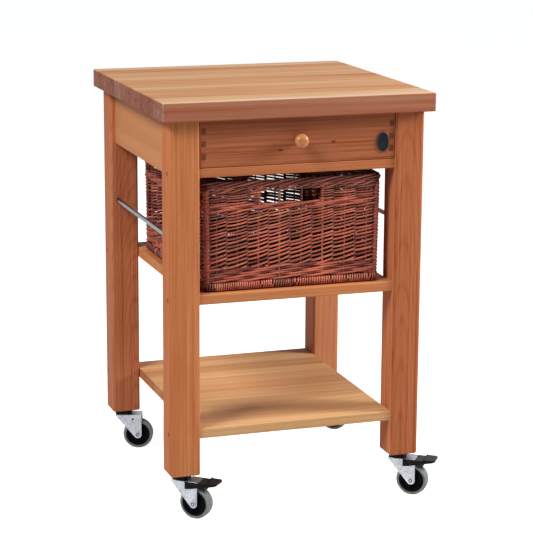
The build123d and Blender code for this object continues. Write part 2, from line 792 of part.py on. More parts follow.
for name in caster_headings:
    profile_plane = side_plane(name)
    axle_plane = pin_plane(name, caster_trail, axle_z)
    brake_plane = pin_plane(name, brake_pivot_ahead, brake_pivot_z)

    with BuildPart() as fork:
        fork_front = caster_trail + fork_eye_radius
        with BuildSketch(profile_plane):
            with BuildLine():
                Polyline(
                    (-fork_back, web_top - fork_shoulder),
                    (-fork_back, web_top),
                    (fork_front, web_top),
                    (fork_front, axle_z),
                )
                CenterArc((caster_trail, axle_z), fork_eye_radius, 0, 360)
            make_hull()
        extrude(amount=fork_outer, both=True)
        fillet(fork.faces().sort_by(Axis.Z)[-1].edges().sort_by(SortBy.LENGTH)[-2:], fork_bend_radius)
        with BuildSketch(profile_plane):
            with Locations((caster_trail - fork_back, 0)):
                Rectangle(4 * fork_front, web_bottom, align=(Align.CENTER, Align.MIN))
        extrude(amount=fork_inner, both=True, mode=Mode.SUBTRACT)
        with Locations(axle_plane):
            Cylinder(axle_radius + fit_gap, 4 * fork_outer, mode=Mode.SUBTRACT)
        with Locations(brake_plane):
            Cylinder(brake_pin_radius + fit_gap, 4 * fork_outer, mode=Mode.SUBTRACT)
        with Locations((*leg_centre(name), web_bottom)):
            Cylinder(pin_radius + run_gap, 2 * fork_web, mode=Mode.SUBTRACT)
    save(fork, f"caster_fork_{name}")

    with BuildPart() as axle:
        with Locations(axle_plane):
            Cylinder(axle_radius, 2 * fork_outer)
            head_centre = fork_outer + axle_head_height / 2
            with Locations((0, 0, head_centre), (0, 0, -head_centre)):
                Cylinder(axle_head_radius, axle_head_height)
    save(axle, f"caster_axle_{name}")

    with BuildPart() as hub:
        with Locations(axle_plane):
            Cylinder(hub_radius, wheel_width - 2 * hub_recess)
            for step_radius, step_depth in (
                (hub_dish_radius, hub_dish_depth),
                (hub_step_radius, hub_dish_depth + hub_step_depth),
            ):
                step_centre = wheel_width / 2 - hub_recess
                with Locations((0, 0, step_centre), (0, 0, -step_centre)):
                    Cylinder(step_radius, 2 * step_depth, mode=Mode.SUBTRACT)
            Cylinder(hub_boss_radius, 2 * (fork_inner - seat_gap))
            Cylinder(axle_radius + run_gap, 2 * fork_inner, mode=Mode.SUBTRACT)
    save(hub, f"wheel_hub_{name}")

    with BuildPart() as tyre:
        with Locations(axle_plane):
            Cylinder(wheel_radius, wheel_width)
        fillet(tyre.edges(), tyre_edge_radius)
        with Locations(axle_plane):
            Cylinder(hub_radius + fit_gap, 2 * wheel_width, mode=Mode.SUBTRACT)
    save(tyre, f"wheel_tyre_{name}")

    if name not in braked_casters:
        continue

    with BuildPart() as brake_pin:
        with Locations(brake_plane):
            Cylinder(brake_pin_radius, 2 * (pedal_outer + seat_gap))
            head_centre = pedal_outer + seat_gap + brake_pin_head_height / 2
            with Locations((0, 0, head_centre), (0, 0, -head_centre)):
                Cylinder(brake_pin_head_radius, brake_pin_head_height)
    save(brake_pin, f"brake_pin_{name}")

    with BuildPart() as pedal:
        with BuildSketch(profile_plane):
            with BuildLine():
                Polyline(*[(x, brake_pivot_z + rise) for x, rise in pedal_outline], close=True)
            make_face()
        extrude(amount=pedal_outer, both=True)
        tip_edges = pedal.edges().filter_by(Axis.Z).filter_by(lambda edge: edge.length < pedal_rear_high)
        fillet(tip_edges, pedal_corner_radius)
        with BuildSketch(profile_plane):
            with Locations((pedal_pad_start, 0)):
                Rectangle(2 * pedal_pad_end, leg_foot, align=(Align.MAX, Align.MIN))
        extrude(amount=pedal_inner, both=True, mode=Mode.SUBTRACT)
        with Locations(brake_plane):
            Cylinder(brake_pin_radius + run_gap, 4 * pedal_outer, mode=Mode.SUBTRACT)
    save(pedal, f"brake_pedal_{name}")

    with BuildPart() as shoe:
        with BuildSketch(profile_plane):
            with BuildLine():
                Polyline(
                    (shoe_start, axle_z),
                    (shoe_start, pedal_low(shoe_start)),
                    (shoe_start + shoe_length, pedal_low(shoe_start + shoe_length)),
                    (shoe_start + shoe_length, axle_z),
                    close=True,
                )
            make_face()
            with Locations((caster_trail, axle_z)):
                Circle(wheel_radius + shoe_lift, mode=Mode.SUBTRACT)
        extrude(amount=shoe_width / 2, both=True)
    save(shoe, f"brake_shoe_{name}")
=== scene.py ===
import json
import math
import random

import bmesh
import bpy
from mathutils import Matrix, Vector


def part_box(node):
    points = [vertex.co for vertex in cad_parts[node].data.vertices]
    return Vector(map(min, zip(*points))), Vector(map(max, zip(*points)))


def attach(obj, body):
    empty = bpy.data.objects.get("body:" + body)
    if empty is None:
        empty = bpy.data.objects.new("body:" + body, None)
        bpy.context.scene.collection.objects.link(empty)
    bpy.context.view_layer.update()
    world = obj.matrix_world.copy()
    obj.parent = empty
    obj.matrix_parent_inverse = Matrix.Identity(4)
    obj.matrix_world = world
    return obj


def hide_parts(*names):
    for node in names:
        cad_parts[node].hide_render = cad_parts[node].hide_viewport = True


# Looks of the kitchen trolley, in metres. X to the right, Y to the back, Z up, floor at zero.
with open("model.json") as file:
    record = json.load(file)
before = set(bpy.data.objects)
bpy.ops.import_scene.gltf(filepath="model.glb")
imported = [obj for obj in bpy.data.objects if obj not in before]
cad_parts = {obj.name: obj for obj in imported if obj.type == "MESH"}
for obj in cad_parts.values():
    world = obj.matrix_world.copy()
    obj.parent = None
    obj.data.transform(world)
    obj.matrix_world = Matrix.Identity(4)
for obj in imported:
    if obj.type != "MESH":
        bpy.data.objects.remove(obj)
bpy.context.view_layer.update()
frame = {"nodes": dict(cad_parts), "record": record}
nodes = frame["nodes"]
scene = bpy.context.scene
scene.view_settings.view_transform = "Standard"
print("frame loaded:", len(nodes), "nodes")

cameraView = {
    "azimuth": 18.596,              # degrees to the left of straight ahead
    "elevation": 12.788,
    "roll": 0.320,
    "distance": 4.4052,
    "target": (0.0232, 0.0, 0.4764),
    "focalPixels": 1947.76,
    "imagePixels": 533,
    "sensorWidth": 36.0,            # millimetres
}

lighting = {
    "lamps": {
        "keyLamp": {
            "place": (-3.05, -1.58, 3.60),
            "aim": (0, 0, 0.5),
            "size": 1.7,
            "power": 176.0,
            "colour": (255, 247, 238),
        },
        "rightLamp": {
            "place": (2.25, -0.80, 1.58),
            "aim": (0.1, 0, 0.4),
            "size": 0.8,
            "power": 78.0,
            "colour": (255, 250, 244),
        },
        "softBox": {
            "place": (0.2, -0.3, 3.3),
            "aim": (0, 0, 0.5),
            "size": 2.6,
            "power": 9.0,
            "colour": (255, 252, 246),
        },
    },
    "worldColour": (220, 233, 255),
    "worldStrength": 0.20,
    "floorSize": 60.0,
    "floorColour": (214, 214, 214),
    "floorGlow": 0.88,              # lifts the pale floor to white for the camera
}


def linear(colour):
    # sRGB numbers out of 255 to the linear colour that nodes take
    parts = [c / 255 for c in colour]
    return [p / 12.92 if p <= 0.04045 else ((p + 0.055) / 1.055) ** 2.4 for p in parts]


def rgba(colour):
    return (*linear(colour), 1.0)


def addCamera(view):
    azimuth = math.radians(view["azimuth"])
    elevation = math.radians(view["elevation"])
    back = Vector((
        -math.sin(azimuth) * math.cos(elevation),
        -math.cos(azimuth) * math.cos(elevation),
        math.sin(elevation),
    ))
    data = bpy.data.cameras.new("photoCamera")
    data.sensor_width = view["sensorWidth"]
    data.lens = view["focalPixels"] / view["imagePixels"] * data.sensor_width
    camera = bpy.data.objects.new("photoCamera", data)
    roll = Matrix.Rotation(math.radians(view["roll"]), 3, "Z")
    turn = (-back).to_track_quat("-Z", "Y").to_matrix() @ roll
    place = Vector(view["target"]) + back * view["distance"]
    camera.matrix_world = Matrix.Translation(place) @ turn.to_4x4()
    scene.collection.objects.link(camera)
    scene.camera = camera


def newTree(holder):
    holder.use_nodes = True
    holder.node_tree.nodes.clear()
    return holder.node_tree


def addNode(tree, kind, inputs=(), **settings):
    # an input is a plain value, another node's output, or None to leave it as it is
    node = tree.nodes.new(kind)
    for name, value in settings.items():
        setattr(node, name, value)
    for name, value in dict(inputs).items():
        if isinstance(value, bpy.types.NodeSocket):
            tree.links.new(value, node.inputs[name])
        elif value is not None:
            node.inputs[name].default_value = value
    return node


def math2(tree, operation, first, second=None):
    return addNode(tree, "ShaderNodeMath", {0: first, 1: second}, operation=operation).outputs[0]


def plus(tree, value, layer, weight):
    return math2(tree, "ADD", value, math2(tree, "MULTIPLY", layer, weight))


def backgroundRays(tree):
    # 1 for rays that should see the white surroundings, 0 for the rays that carry light
    path = addNode(tree, "ShaderNodeLightPath")
    seen = math2(tree, "MAXIMUM", path.outputs["Is Camera Ray"], path.outputs["Is Glossy Ray"])
    return math2(tree, "MAXIMUM", seen, path.outputs["Is Transmission Ray"])


def addLight(spec):
    for name, lampSpec in spec["lamps"].items():
        data = bpy.data.lights.new(name, "AREA")
        data.shape = "DISK"
        data.size = lampSpec["size"]
        data.energy = lampSpec["power"]
        data.color = linear(lampSpec["colour"])
        lamp = bpy.data.objects.new(name, data)
        lamp.location = lampSpec["place"]
        toAim = Vector(lampSpec["aim"]) - lamp.location
        lamp.rotation_euler = toAim.to_track_quat("-Z", "Y").to_euler()
        scene.collection.objects.link(lamp)

    world = bpy.data.worlds.new("studio")
    scene.world = world
    tree = newTree(world)
    dim = {"Color": rgba(spec["worldColour"]), "Strength": spec["worldStrength"]}
    soft = addNode(tree, "ShaderNodeBackground", dim).outputs[0]
    white = addNode(tree, "ShaderNodeBackground", {"Color": (1, 1, 1, 1)}).outputs[0]
    mix = addNode(tree, "ShaderNodeMixShader", {0: backgroundRays(tree), 1: soft, 2: white})
    addNode(tree, "ShaderNodeOutputWorld", {0: mix.outputs[0]})


def addFloor(spec):
    mesh = bpy.data.meshes.new("floor")
    shape = bmesh.new()
    bmesh.ops.create_grid(shape, x_segments=1, y_segments=1, size=spec["floorSize"] / 2)
    shape.to_mesh(mesh)
    shape.free()
    floor = bpy.data.objects.new("floor", mesh)
    scene.collection.objects.link(floor)
    material = bpy.data.materials.new("paleFloor")
    tree = newTree(material)
    seen = math2(tree, "MULTIPLY", backgroundRays(tree), spec["floorGlow"])
    paint = addNode(tree, "ShaderNodeBsdfDiffuse", {"Color": rgba(spec["floorColour"])}).outputs[0]
    glow = addNode(tree, "ShaderNodeEmission", {"Strength": seen}).outputs[0]
    both = addNode(tree, "ShaderNodeAddShader", {0: paint, 1: glow})
    addNode(tree, "ShaderNodeOutputMaterial", {0: both.outputs[0]})
    mesh.materials.append(material)


addCamera(cameraView)
addLight(lighting)
addFloor(lighting)
print("camera, light and floor ready")


def vector2(tree, operation, first, second=None):
    node = addNode(tree, "ShaderNodeVectorMath", {0: first, 1: second}, operation=operation)
    return node.outputs["Value" if operation == "LENGTH" else "Vector"]


def mapRange(tree, value, low, high, newLow=0.0, newHigh=1.0, smooth=False):
    shape = "SMOOTHSTEP" if smooth else "LINEAR"
    ends = {"From Min": low, "From Max": high, "To Min": newLow, "To Max": newHigh}
    node = addNode(tree, "ShaderNodeMapRange", {"Value": value, **ends}, interpolation_type=shape)
    return node.outputs["Result"]


def axesOf(tree, vector):
    return addNode(tree, "ShaderNodeSeparateXYZ", {0: vector}).outputs


def noise(tree, place, scale, detail=3.0, roughness=0.55, distortion=0.0):
    # scale is how many spots per metre, or one number for each axis
    if not isinstance(scale, (int, float)):
        place = vector2(tree, "MULTIPLY", place, scale)
        scale = 1.0
    inputs = {"Vector": place, "Scale": scale, "Detail": detail}
    inputs |= {"Roughness": roughness, "Distortion": distortion}
    return addNode(tree, "ShaderNodeTexNoise", inputs).outputs["Fac"]


def colourRamp(tree, value, stops, interpolation="LINEAR"):
    node = addNode(tree, "ShaderNodeValToRGB", {"Fac": value})
    ramp = node.color_ramp
    ramp.interpolation = interpolation
    while len(ramp.elements) < len(stops):
        ramp.elements.new(1.0)
    for element, (position, colour) in zip(ramp.elements, stops):
        element.position = position
        element.color = colour
    return node.outputs["Color"]


def tinted(tree, colour, tint, amount):
    # multiplies a colour by a tint, as far as amount says
    node = addNode(tree, "ShaderNodeMix", data_type="RGBA", blend_type="MULTIPLY")
    sockets = {socket.identifier: socket for socket in node.inputs}
    tree.links.new(amount, sockets["Factor_Float"])
    tree.links.new(colour, sockets["A_Color"])
    sockets["B_Color"].default_value = rgba(tint)
    return {socket.identifier: socket for socket in node.outputs}["Result_Color"]


def addSurface(tree, finish, colour, roughness, height):
    relief = {"Strength": finish["bump"], "Distance": finish["bumpDistance"], "Height": height}
    surface = addNode(tree, "ShaderNodeBsdfPrincipled", {
        "Base Color": colour,
        "Roughness": roughness,
        "Metallic": finish.get("metallic"),
        "Specular IOR Level": finish.get("specular"),
        "Normal": addNode(tree, "ShaderNodeBump", relief).outputs[0],
    })
    addNode(tree, "ShaderNodeOutputMaterial", {0: surface.outputs[0]})


def startMaterial(name):
    material = bpy.data.materials.new(name)
    tree = newTree(material)
    return material, tree, addNode(tree, "ShaderNodeTexCoord").outputs


def layered(tree, *layers):
    # the sum of the layers, each times its weight
    total = None
    for layer, weight in layers:
        part = math2(tree, "MULTIPLY", layer, weight)
        total = part if total is None else math2(tree, "ADD", total, part)
    return total


# turns the grain to local X
grainTurn = {"X": (0, 0, 0), "Y": (0, 0, -math.pi / 2), "Z": (0, math.pi / 2, 0)}
shadePowers = (0.55, 1.0, 1.3)      # from shade to shade red changes least and blue most


def staveBands(tree, across, wood):
    # three numbers for each stave, as a colour: its tone, the tone of its ends and a random one
    dice = random.Random(wood["seed"])
    edges = wood["staves"]
    span = edges[-1] - edges[0]
    stops = []
    for index, edge in enumerate(edges[:-1]):
        tone = 0.5 + dice.uniform(-0.5, 0.5) * wood["staveContrast"]
        tone = wood["tones"].get(index, tone)
        endTone = wood["endTones"].get(index, dice.random())
        stops.append(((edge - edges[0]) / span, (tone, endTone, dice.random(), 1.0)))
    return colourRamp(tree, mapRange(tree, across, edges[0], edges[-1]), stops, "CONSTANT")


def woodStops(wood):
    # each shade is a share of the base colour, or a colour of its own
    base = linear(wood["base"])
    stops = []
    for position, shade in wood["shades"]:
        if isinstance(shade, tuple):
            colour = linear(shade)
        else:
            colour = [min(1, c * shade ** power) for c, power in zip(base, shadePowers)]
        stops.append((position, (*colour, 1.0)))
    return stops


def depthInside(tree, place, low, high):
    # how far a point is inside a box, along each axis
    fromMiddle = vector2(tree, "ABSOLUTE", vector2(tree, "SUBTRACT", place, (low + high) / 2))
    return axesOf(tree, vector2(tree, "SUBTRACT", (high - low) / 2, fromMiddle))


def edgeDistance(tree, place, name):
    # how far a point on a box-shaped piece is from the piece's nearest edge
    low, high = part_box(name)
    depth = depthInside(tree, place, low, high)
    nearer = math2(tree, "MINIMUM", depth["X"], depth["Y"])
    farther = math2(tree, "MAXIMUM", depth["X"], depth["Y"])
    return math2(tree, "MAXIMUM", nearer, math2(tree, "MINIMUM", farther, depth["Z"]))


def towards(tree, value, target, share):
    return plus(tree, value, share, math2(tree, "SUBTRACT", target, value))


def makeWood(name, wood):
    material, tree, coordinates = startMaterial(name)
    here = coordinates["Object"]
    turn = {"Vector": here, "Rotation": grainTurn[wood["grain"]]}
    turned = addNode(tree, "ShaderNodeMapping", turn).outputs[0]
    facing = axesOf(tree, coordinates["Normal"])

    # every stave is its own piece of the log
    bands = staveBands(tree, axesOf(tree, turned)["Y"], wood)
    place = vector2(tree, "ADD", turned, vector2(tree, "MULTIPLY", bands, wood["logShift"]))
    tone = addNode(tree, "ShaderNodeSeparateColor", {0: bands}).outputs
    value = tone["Red"]
    endways = math2(tree, "ABSOLUTE", facing[wood["grain"]])
    endGrain = mapRange(tree, endways, *wood["endFacing"])
    if len(wood["staves"]) > 2:
        endTone = mapRange(tree, tone["Green"], 0.0, 1.0, *wood["endToneRange"])
        value = towards(tree, value, endTone, endGrain)
    # front faces take their own tone, partly painted light and shade that sets them apart from the side
    # faces; faces turned down take it too, as painted shade
    if "frontToneAndShade" in wood:
        shadedUnder = mapRange(tree, facing["Z"], *wood["shadedUnderFacing"], 1.0, 0.0)
        front = mapRange(tree, facing["Y"], *wood["frontFacing"], 1.0, 0.0)
        front = math2(tree, "MAXIMUM", front, shadedUnder)
        value = towards(tree, value, wood["frontToneAndShade"], front)

    # growth rings round a pith that drifts along the log
    scatter = vector2(tree, "MULTIPLY", bands, (0.0, wood["ringScatter"], wood["ringScatter"]))
    log = axesOf(tree, vector2(tree, "ADD", turned, scatter))
    lean = math2(tree, "MULTIPLY", log["X"], wood["pithLean"])
    waver = noise(tree, place, wood["waverScale"], detail=1.0)
    drift = plus(tree, lean, waver, wood["ringWaver"])
    y = math2(tree, "SUBTRACT", math2(tree, "ADD", log["Y"], drift), wood["pith"][0])
    z = math2(tree, "SUBTRACT", log["Z"], wood["pith"][1])
    fromPith = addNode(tree, "ShaderNodeCombineXYZ", {"Y": y, "Z": z}).outputs[0]
    radius = vector2(tree, "LENGTH", fromPith)
    ringPhase = math2(tree, "PINGPONG", math2(tree, "DIVIDE", radius, wood["ringWidth"]), 0.5)
    rings = mapRange(tree, ringPhase, *wood["ringEdge"], smooth=True)

    streakScale = (wood["streakAlong"], wood["streakRate"], wood["streakRate"])
    lineScale = (wood["lineAlong"], wood["lineRate"], wood["lineRate"])
    broad = noise(tree, place, wood["broadScale"], detail=2.0)
    middle = noise(tree, place, streakScale, detail=4.0, distortion=0.2)
    fine = noise(tree, place, wood["fineScale"], detail=3.0, roughness=0.65)
    lines = mapRange(tree, noise(tree, place, lineScale, detail=2.0), *wood["lineEdge"], 1.0, 0.0)
    flecks = mapRange(tree, noise(tree, place, wood["fleckScale"], detail=1.0), *wood["fleckEdge"])
    for layer, weight, rest in (
        (broad, wood["broad"], 0.5),
        (middle, wood["middle"], 0.5),
        (fine, wood["fine"], 0.5),
        (rings, -wood["rings"], 0.3),
        (lines, -wood["lines"], 0.2),
        (flecks, -wood["flecks"], 0.0),
    ):
        value = plus(tree, value, math2(tree, "SUBTRACT", layer, rest), weight)
    if wood["frontCalm"]:
        calm = math2(tree, "MULTIPLY", front, wood["frontCalm"])
        value = towards(tree, value, wood["frontToneAndShade"], calm)
    if wood["wear"]:
        fromEdge = edgeDistance(tree, here, wood["nodes"][0])
        rubbed = mapRange(tree, fromEdge, *wood["wearEdge"], 1.0, 0.0, smooth=True)
        patches = noise(tree, here, wood["wearRate"], detail=2.0)
        worn = math2(tree, "MULTIPLY", rubbed, mapRange(tree, patches, *wood["wearPatches"]))
        value = plus(tree, value, worn, wood["wear"])
    colour = colourRamp(tree, value, woodStops(wood))

    # small dark knots, and end grain that soaks up more oil
    for x, z, size in wood["knots"]:
        across = vector2(tree, "SUBTRACT", here, (x, 0, z))
        across = vector2(tree, "MULTIPLY", across, wood["knotSquash"])
        away = vector2(tree, "LENGTH", across)
        knot = mapRange(tree, away, size * wood["knotCore"], size, 1.0, 0.0, smooth=True)
        colour = tinted(tree, colour, wood["knotTint"], knot)
    # front and downward faces get a tint too, partly painted shade
    if "frontToneAndShade" in wood:
        colour = tinted(tree, colour, wood["frontTintAndShade"], front)
    colour = tinted(tree, colour, wood["endTint"], endGrain)

    roughness = mapRange(tree, fine, 0.3, 0.7, *wood["gloss"])
    height = math2(tree, "SUBTRACT", fine, math2(tree, "MULTIPLY", flecks, wood["fleckDepth"]))
    addSurface(tree, wood, colour, roughness, height)
    return material


# scales are spots per metre along the grain and across it
beech = {
    "grain": "X",
    "base": (188, 116, 73),
    "shades": ((0.0, 0.42), (0.28, 0.76), (0.5, 1.0), (0.75, 1.32), (1.0, 1.9)),
    "seed": 3,
    "staves": (-1.0, 1.0),          # where one ends and the next begins
    "staveContrast": 0.0,
    "tones": {},
    "endTones": {},
    "endToneRange": (0.25, 0.65),
    "logShift": (7.0, 1.3, 1.3),    # how far apart in the log staves are cut
    "endFacing": (0.75, 0.97),      # how squarely end grain faces along the grain
    "frontFacing": (-0.72, -0.5),
    "shadedUnderFacing": (-0.5, -0.1),
    "pith": (0.10, -0.30),
    "pithLean": 0.02,
    "ringScatter": 0.12,
    "ringWidth": 0.009,
    "ringEdge": (0.28, 0.5),
    "ringWaver": 0.03,
    "waverScale": (1.7, 5.0, 5.0),
    "streakAlong": 2.4,
    "streakRate": 150.0,
    "lineAlong": 1.3,
    "lineRate": 210.0,
    "lineEdge": (0.34, 0.46),
    "broadScale": (1.1, 34.0, 34.0),
    "fineScale": (14.0, 800.0, 800.0),
    "fleckScale": (80.0, 700.0, 700.0),
    "fleckEdge": (0.64, 0.72),
    "fleckDepth": 0.6,
    "broad": 0.42,
    "middle": 0.74,
    "fine": 0.56,
    "rings": 0.08,
    "lines": 0.11,
    "flecks": 0.10,
    "wear": 0.0,                    # edges rubbed paler in patches
    "wearEdge": (0.0006, 0.0032),
    "wearRate": 26.0,
    "wearPatches": (0.38, 0.6, 0.25, 1.0),
    "knots": (),
    "knotSquash": (0.6, 0.0, 1.4),
    "knotCore": 0.3,
    "knotTint": (178, 150, 142),
    "frontTintAndShade": (255, 255, 255),
    "frontCalm": 0.0,               # how much of the figure is missing on the front
    "endTint": (196, 186, 200),
    "gloss": (0.42, 0.56),
    "specular": 0.02,
    "bump": 0.12,
    "bumpDistance": 0.0006,
}

legBeech = {"grain": "Z", "ringScatter": 0.0, "wear": 0.08}

woodPieces = {
    "worktopWood": {
        "nodes": ["worktop"],
        "base": (186, 138, 90),
        "shades": (
            (0.0, 0.42),
            (0.28, (177, 117, 74)),
            (0.5, 1.0),
            (0.75, (194, 157, 118)),
            (1.0, (214, 188, 158)),
        ),
        "seed": 11,
        "staves": (
            -0.300, -0.268, -0.222, -0.170, -0.118, -0.068, -0.012,
            0.047, 0.101, 0.153, 0.205, 0.253, 0.300,
        ),
        "tones": {
            0: 0.80, 1: 0.74, 2: 0.42, 3: 0.50, 4: 0.51, 5: 0.47,
            6: 0.33, 7: 0.47, 8: 0.54, 9: 0.44, 10: 0.26, 11: 0.68,
        },
        "endTones": {
            0: 0.8, 1: 0.85, 2: 0.0, 3: 0.2, 4: 0.25, 5: 0.35,
            6: 0.45, 7: 0.95, 8: 0.0, 9: 0.3, 10: 0.3, 11: 0.5,
        },
        "frontToneAndShade": 0.335,
        "frontTintAndShade": (229, 210, 245),
        "frontCalm": 0.45,
        "streakRate": 110.0,
        "middle": 1.25,
        "broad": 0.90,
        "fine": 0.62,
        "lines": 0.16,
        "wear": 0.02,
        "endTint": (185, 161, 189),
        "gloss": (0.36, 0.50),
    },
    "legFrontLeftWood": {
        **legBeech,
        "nodes": ["leg_front_left"],
        "base": (183, 109, 66),
        "frontToneAndShade": 0.64,
        "pith": (-0.40, 0.26),
        "lineRate": 300.0,
        "lines": 0.20,
    },
    "legFrontRightWood": {
        **legBeech,
        "nodes": ["leg_front_right"],
        "base": (181, 112, 76),
        "frontToneAndShade": 0.28,
        "seed": 8,
        "pith": (-0.252, -0.240),
        "pithLean": -0.06,
        "ringWidth": 0.0065,
        "rings": 0.13,
        "broad": 0.30,
        "middle": 0.50,
        "lineRate": 300.0,
        "lines": 0.26,
        "wear": 0.10,
    },
    "legBackLeftWood": {
        **legBeech,
        "nodes": ["leg_back_left"],
        "base": (177, 107, 73),
        "seed": 15,
        "pith": (0.232, 0.226),
        "pithLean": -0.10,
        "ringWidth": 0.005,
        "rings": 0.20,
        "broad": 0.30,
        "middle": 0.50,
        "lineRate": 300.0,
        "lines": 0.30,
    },
    "legBackRightWood": {
        **legBeech,
        "nodes": ["leg_back_right"],
        # a paler base than the other legs, partly painted light on a leg that stands in shade
        "base": (196, 130, 93),
        "seed": 21,
        "pith": (0.05, -0.40),
        "broad": 0.25,
        "middle": 0.34,
    },
    "sideApronWood": {
        "nodes": ["side_apron_left", "side_apron_right", "drawer_runner_left", "drawer_runner_right"],
        "grain": "Y",
        "base": (188, 128, 85),
        "middle": 0.16,
        "lines": 0.0,
        "rings": 0.02,
        "flecks": 0.16,
    },
    "backApronWood": {
        "nodes": ["back_apron", "apron_dowels"],
    },
    "drawerRailWood": {
        "nodes": ["drawer_rail"],
        "base": (180, 110, 71),
        "seed": 17,
        "lines": 0.10,
        "wear": 0.06,
    },
    "plugWood": {
        "nodes": ["leg_plugs"],
        "base": (148, 82, 52),
        "endTint": (206, 188, 186),
    },
    "middleShelfWood": {
        "nodes": ["middle_shelf"],
        "base": (190, 122, 79),
        "seed": 5,
        "staves": (
            -0.277, -0.232, -0.180, -0.128, -0.074, -0.018,
            0.034, 0.085, 0.138, 0.190, 0.236, 0.277,
        ),
        "staveContrast": 0.3,
        "wear": 0.08,
        "endTones": {stave: 1.0 for stave in range(11)},
        "endTint": (255, 255, 255),
    },
    "lowerShelfWood": {
        "nodes": ["lower_shelf"],
        "base": (195, 148, 103),
        "seed": 9,
        "staves": (
            -0.277, -0.226, -0.174, -0.124, -0.070, -0.022,
            0.030, 0.087, 0.134, 0.186, 0.232, 0.277,
        ),
        "staveContrast": 0.44,
        "tones": {0: 0.62, 1: 0.58},
        "middle": 0.55,
        "streakRate": 90.0,
        "wear": 0.08,
        "endTint": (240, 213, 211),
    },
    "drawerFrontWood": {
        "nodes": ["drawer_front"],
        "base": (163, 96, 65),
        "seed": 4,
        "middle": 0.80,
        "fine": 0.80,
        "lineRate": 380.0,
        "lines": 0.30,
        "knots": ((-0.0406, 0.7894, 0.0045), (0.0770, 0.8023, 0.0050)),
        "wear": 0.10,
    },
    "drawerBoxWood": {
        "nodes": ["drawer_back"],
        "base": (196, 140, 96),
    },
    "drawerSideWood": {
        "nodes": ["drawer_side_left", "drawer_side_right"],
        "grain": "Y",
        "base": (196, 140, 96),
        "endTint": (160, 136, 138),
    },
    "drawerPanelWood": {
        "nodes": ["drawer_bottom_panel"],
        "base": (214, 176, 132),
        "lines": 0.03,
    },
    "knobWood": {
        "nodes": ["drawer_knob"],
        "grain": "Y",
        "base": (190, 123, 75),
        "fine": 0.2,
        "middle": 0.16,
        "endTint": (236, 230, 230),
        "gloss": (0.24, 0.32),
        "specular": 0.4,
        "bump": 0.04,
    },
}


def dress(names, material):
    for name in names:
        slots = nodes[name].data.materials
        slots.clear()
        slots.append(material)


for materialName, changes in woodPieces.items():
    wood = {**beech, **changes}
    dress(wood["nodes"], makeWood(materialName, wood))
print("wood dressed:", len(woodPieces), "finishes")


def axleDistance(tree, here, axle):
    fromMiddle = vector2(tree, "SUBTRACT", here, axle["pos_m"])
    return vector2(tree, "LENGTH", vector2(tree, "CROSS_PRODUCT", fromMiddle, axle["axis"]))


def ringMask(tree, radius, middle, near, far):
    # 1 on a ring of the middle radius, 0 away from it
    away = math2(tree, "ABSOLUTE", math2(tree, "SUBTRACT", radius, middle))
    return mapRange(tree, away, near, far, 1.0, 0.0, smooth=True)


rivetShade = {
    "radius": 0.0033,
    "edge": (0.0007, 0.0014),
    "tint": (84, 84, 88),
}


def makeMetal(name, metal, axle=None):
    # an axle's end also has a darker ring where it is riveted, painted shade in the notch
    material, tree, coordinates = startMaterial(name)
    here = coordinates["Object"]
    spangle = noise(tree, here, metal["spangleRate"], detail=2.0, roughness=0.7)
    clouds = noise(tree, here, metal["cloudRate"], detail=2.0)
    drawn = noise(tree, here, metal["drawnRate"], detail=3.0, roughness=0.6)
    weights = (metal["spangle"], metal["clouds"], metal["drawn"])
    value = layered(tree, *zip((spangle, clouds, drawn), weights))
    middle = 0.5 * sum(weights)
    places = (middle - metal["spread"], middle, middle + metal["spread"])
    stops = [(p, rgba(c)) for p, c in zip(places, metal["colours"])]
    colour = colourRamp(tree, value, stops)
    if axle:
        # painted shade in the riveted notch
        ring = ringMask(tree, axleDistance(tree, here, axle), rivetShade["radius"], *rivetShade["edge"])
        colour = tinted(tree, colour, rivetShade["tint"], ring)
    # painted reflection and shade by which way the surface faces
    if "paintedReflection" in metal:
        upward = mapRange(tree, axesOf(tree, coordinates["Normal"])["Z"], -1.0, 1.0)
        shades = [(p, (s, s, s, 1.0)) for p, s in metal["paintedReflection"]]
        colour = vector2(tree, "MULTIPLY", colour, colourRamp(tree, upward, shades))
    roughness = mapRange(tree, spangle, 0.35, 0.65, *metal["roughness"])
    addSurface(tree, metal, colour, roughness, math2(tree, "ADD", spangle, drawn))
    return material


steel = {"cloudRate": 55.0, "clouds": 0.3, "spread": 0.22, "metallic": 1.0, "bumpDistance": 0.0002}

metals = {
    "railSteel": {
        **steel,
        "slot": "rail_steel",
        "colours": ((116, 119, 123), (150, 153, 157), (186, 189, 192)),
        # painted reflection and shade, from below to the top: darker underneath and along the top, a
        # bright band between
        "paintedReflection": ((0.0, 0.42), (0.35, 0.62), (0.6, 0.72), (0.78, 1.0), (0.9, 0.6), (0.97, 0.12)),
        "spangleRate": 900.0,
        "spangle": 0.2,
        "drawnRate": (900.0, 9.0, 900.0),
        "drawn": 0.7,
        "roughness": (0.26, 0.40),
        "bump": 0.10,
    },
    "zincSteel": {
        **steel,
        "slot": "zinc_steel",
        "colours": ((120, 126, 134), (161, 167, 175), (200, 205, 212)),
        "spangleRate": 620.0,
        "spangle": 1.1,
        "drawnRate": (160.0, 160.0, 160.0),
        "drawn": 0.25,
        "roughness": (0.38, 0.54),
        "bump": 0.12,
    },
}
nodesOfSlot = {}
for row in frame["record"]["subparts"]:
    nodesOfSlot.setdefault(row["material_slot"], []).append(row["node"])
for metalName, metal in metals.items():
    dress(nodesOfSlot[metal["slot"]], makeMetal(metalName, metal))
wheelJoints = {}
for joint in frame["record"]["behaviour"]["joints"]:
    if joint["name"].startswith("wheel_spin"):
        wheelJoints[joint["child"].removeprefix("wheel_")] = joint
for corner, joint in wheelJoints.items():
    dress([f"caster_axle_{corner}"], makeMetal(f"axleSteel.{corner}", metals["zincSteel"], joint))

skin = {
    "mottleRate": 130.0,
    "mottle": 0.6,
    "pores": 0.4,
    "poreDepth": 0.25,
    "ringBlur": 0.0004,
    "stops": (0.25, 0.5, 0.8),
    "bumpDistance": 0.0008,
}


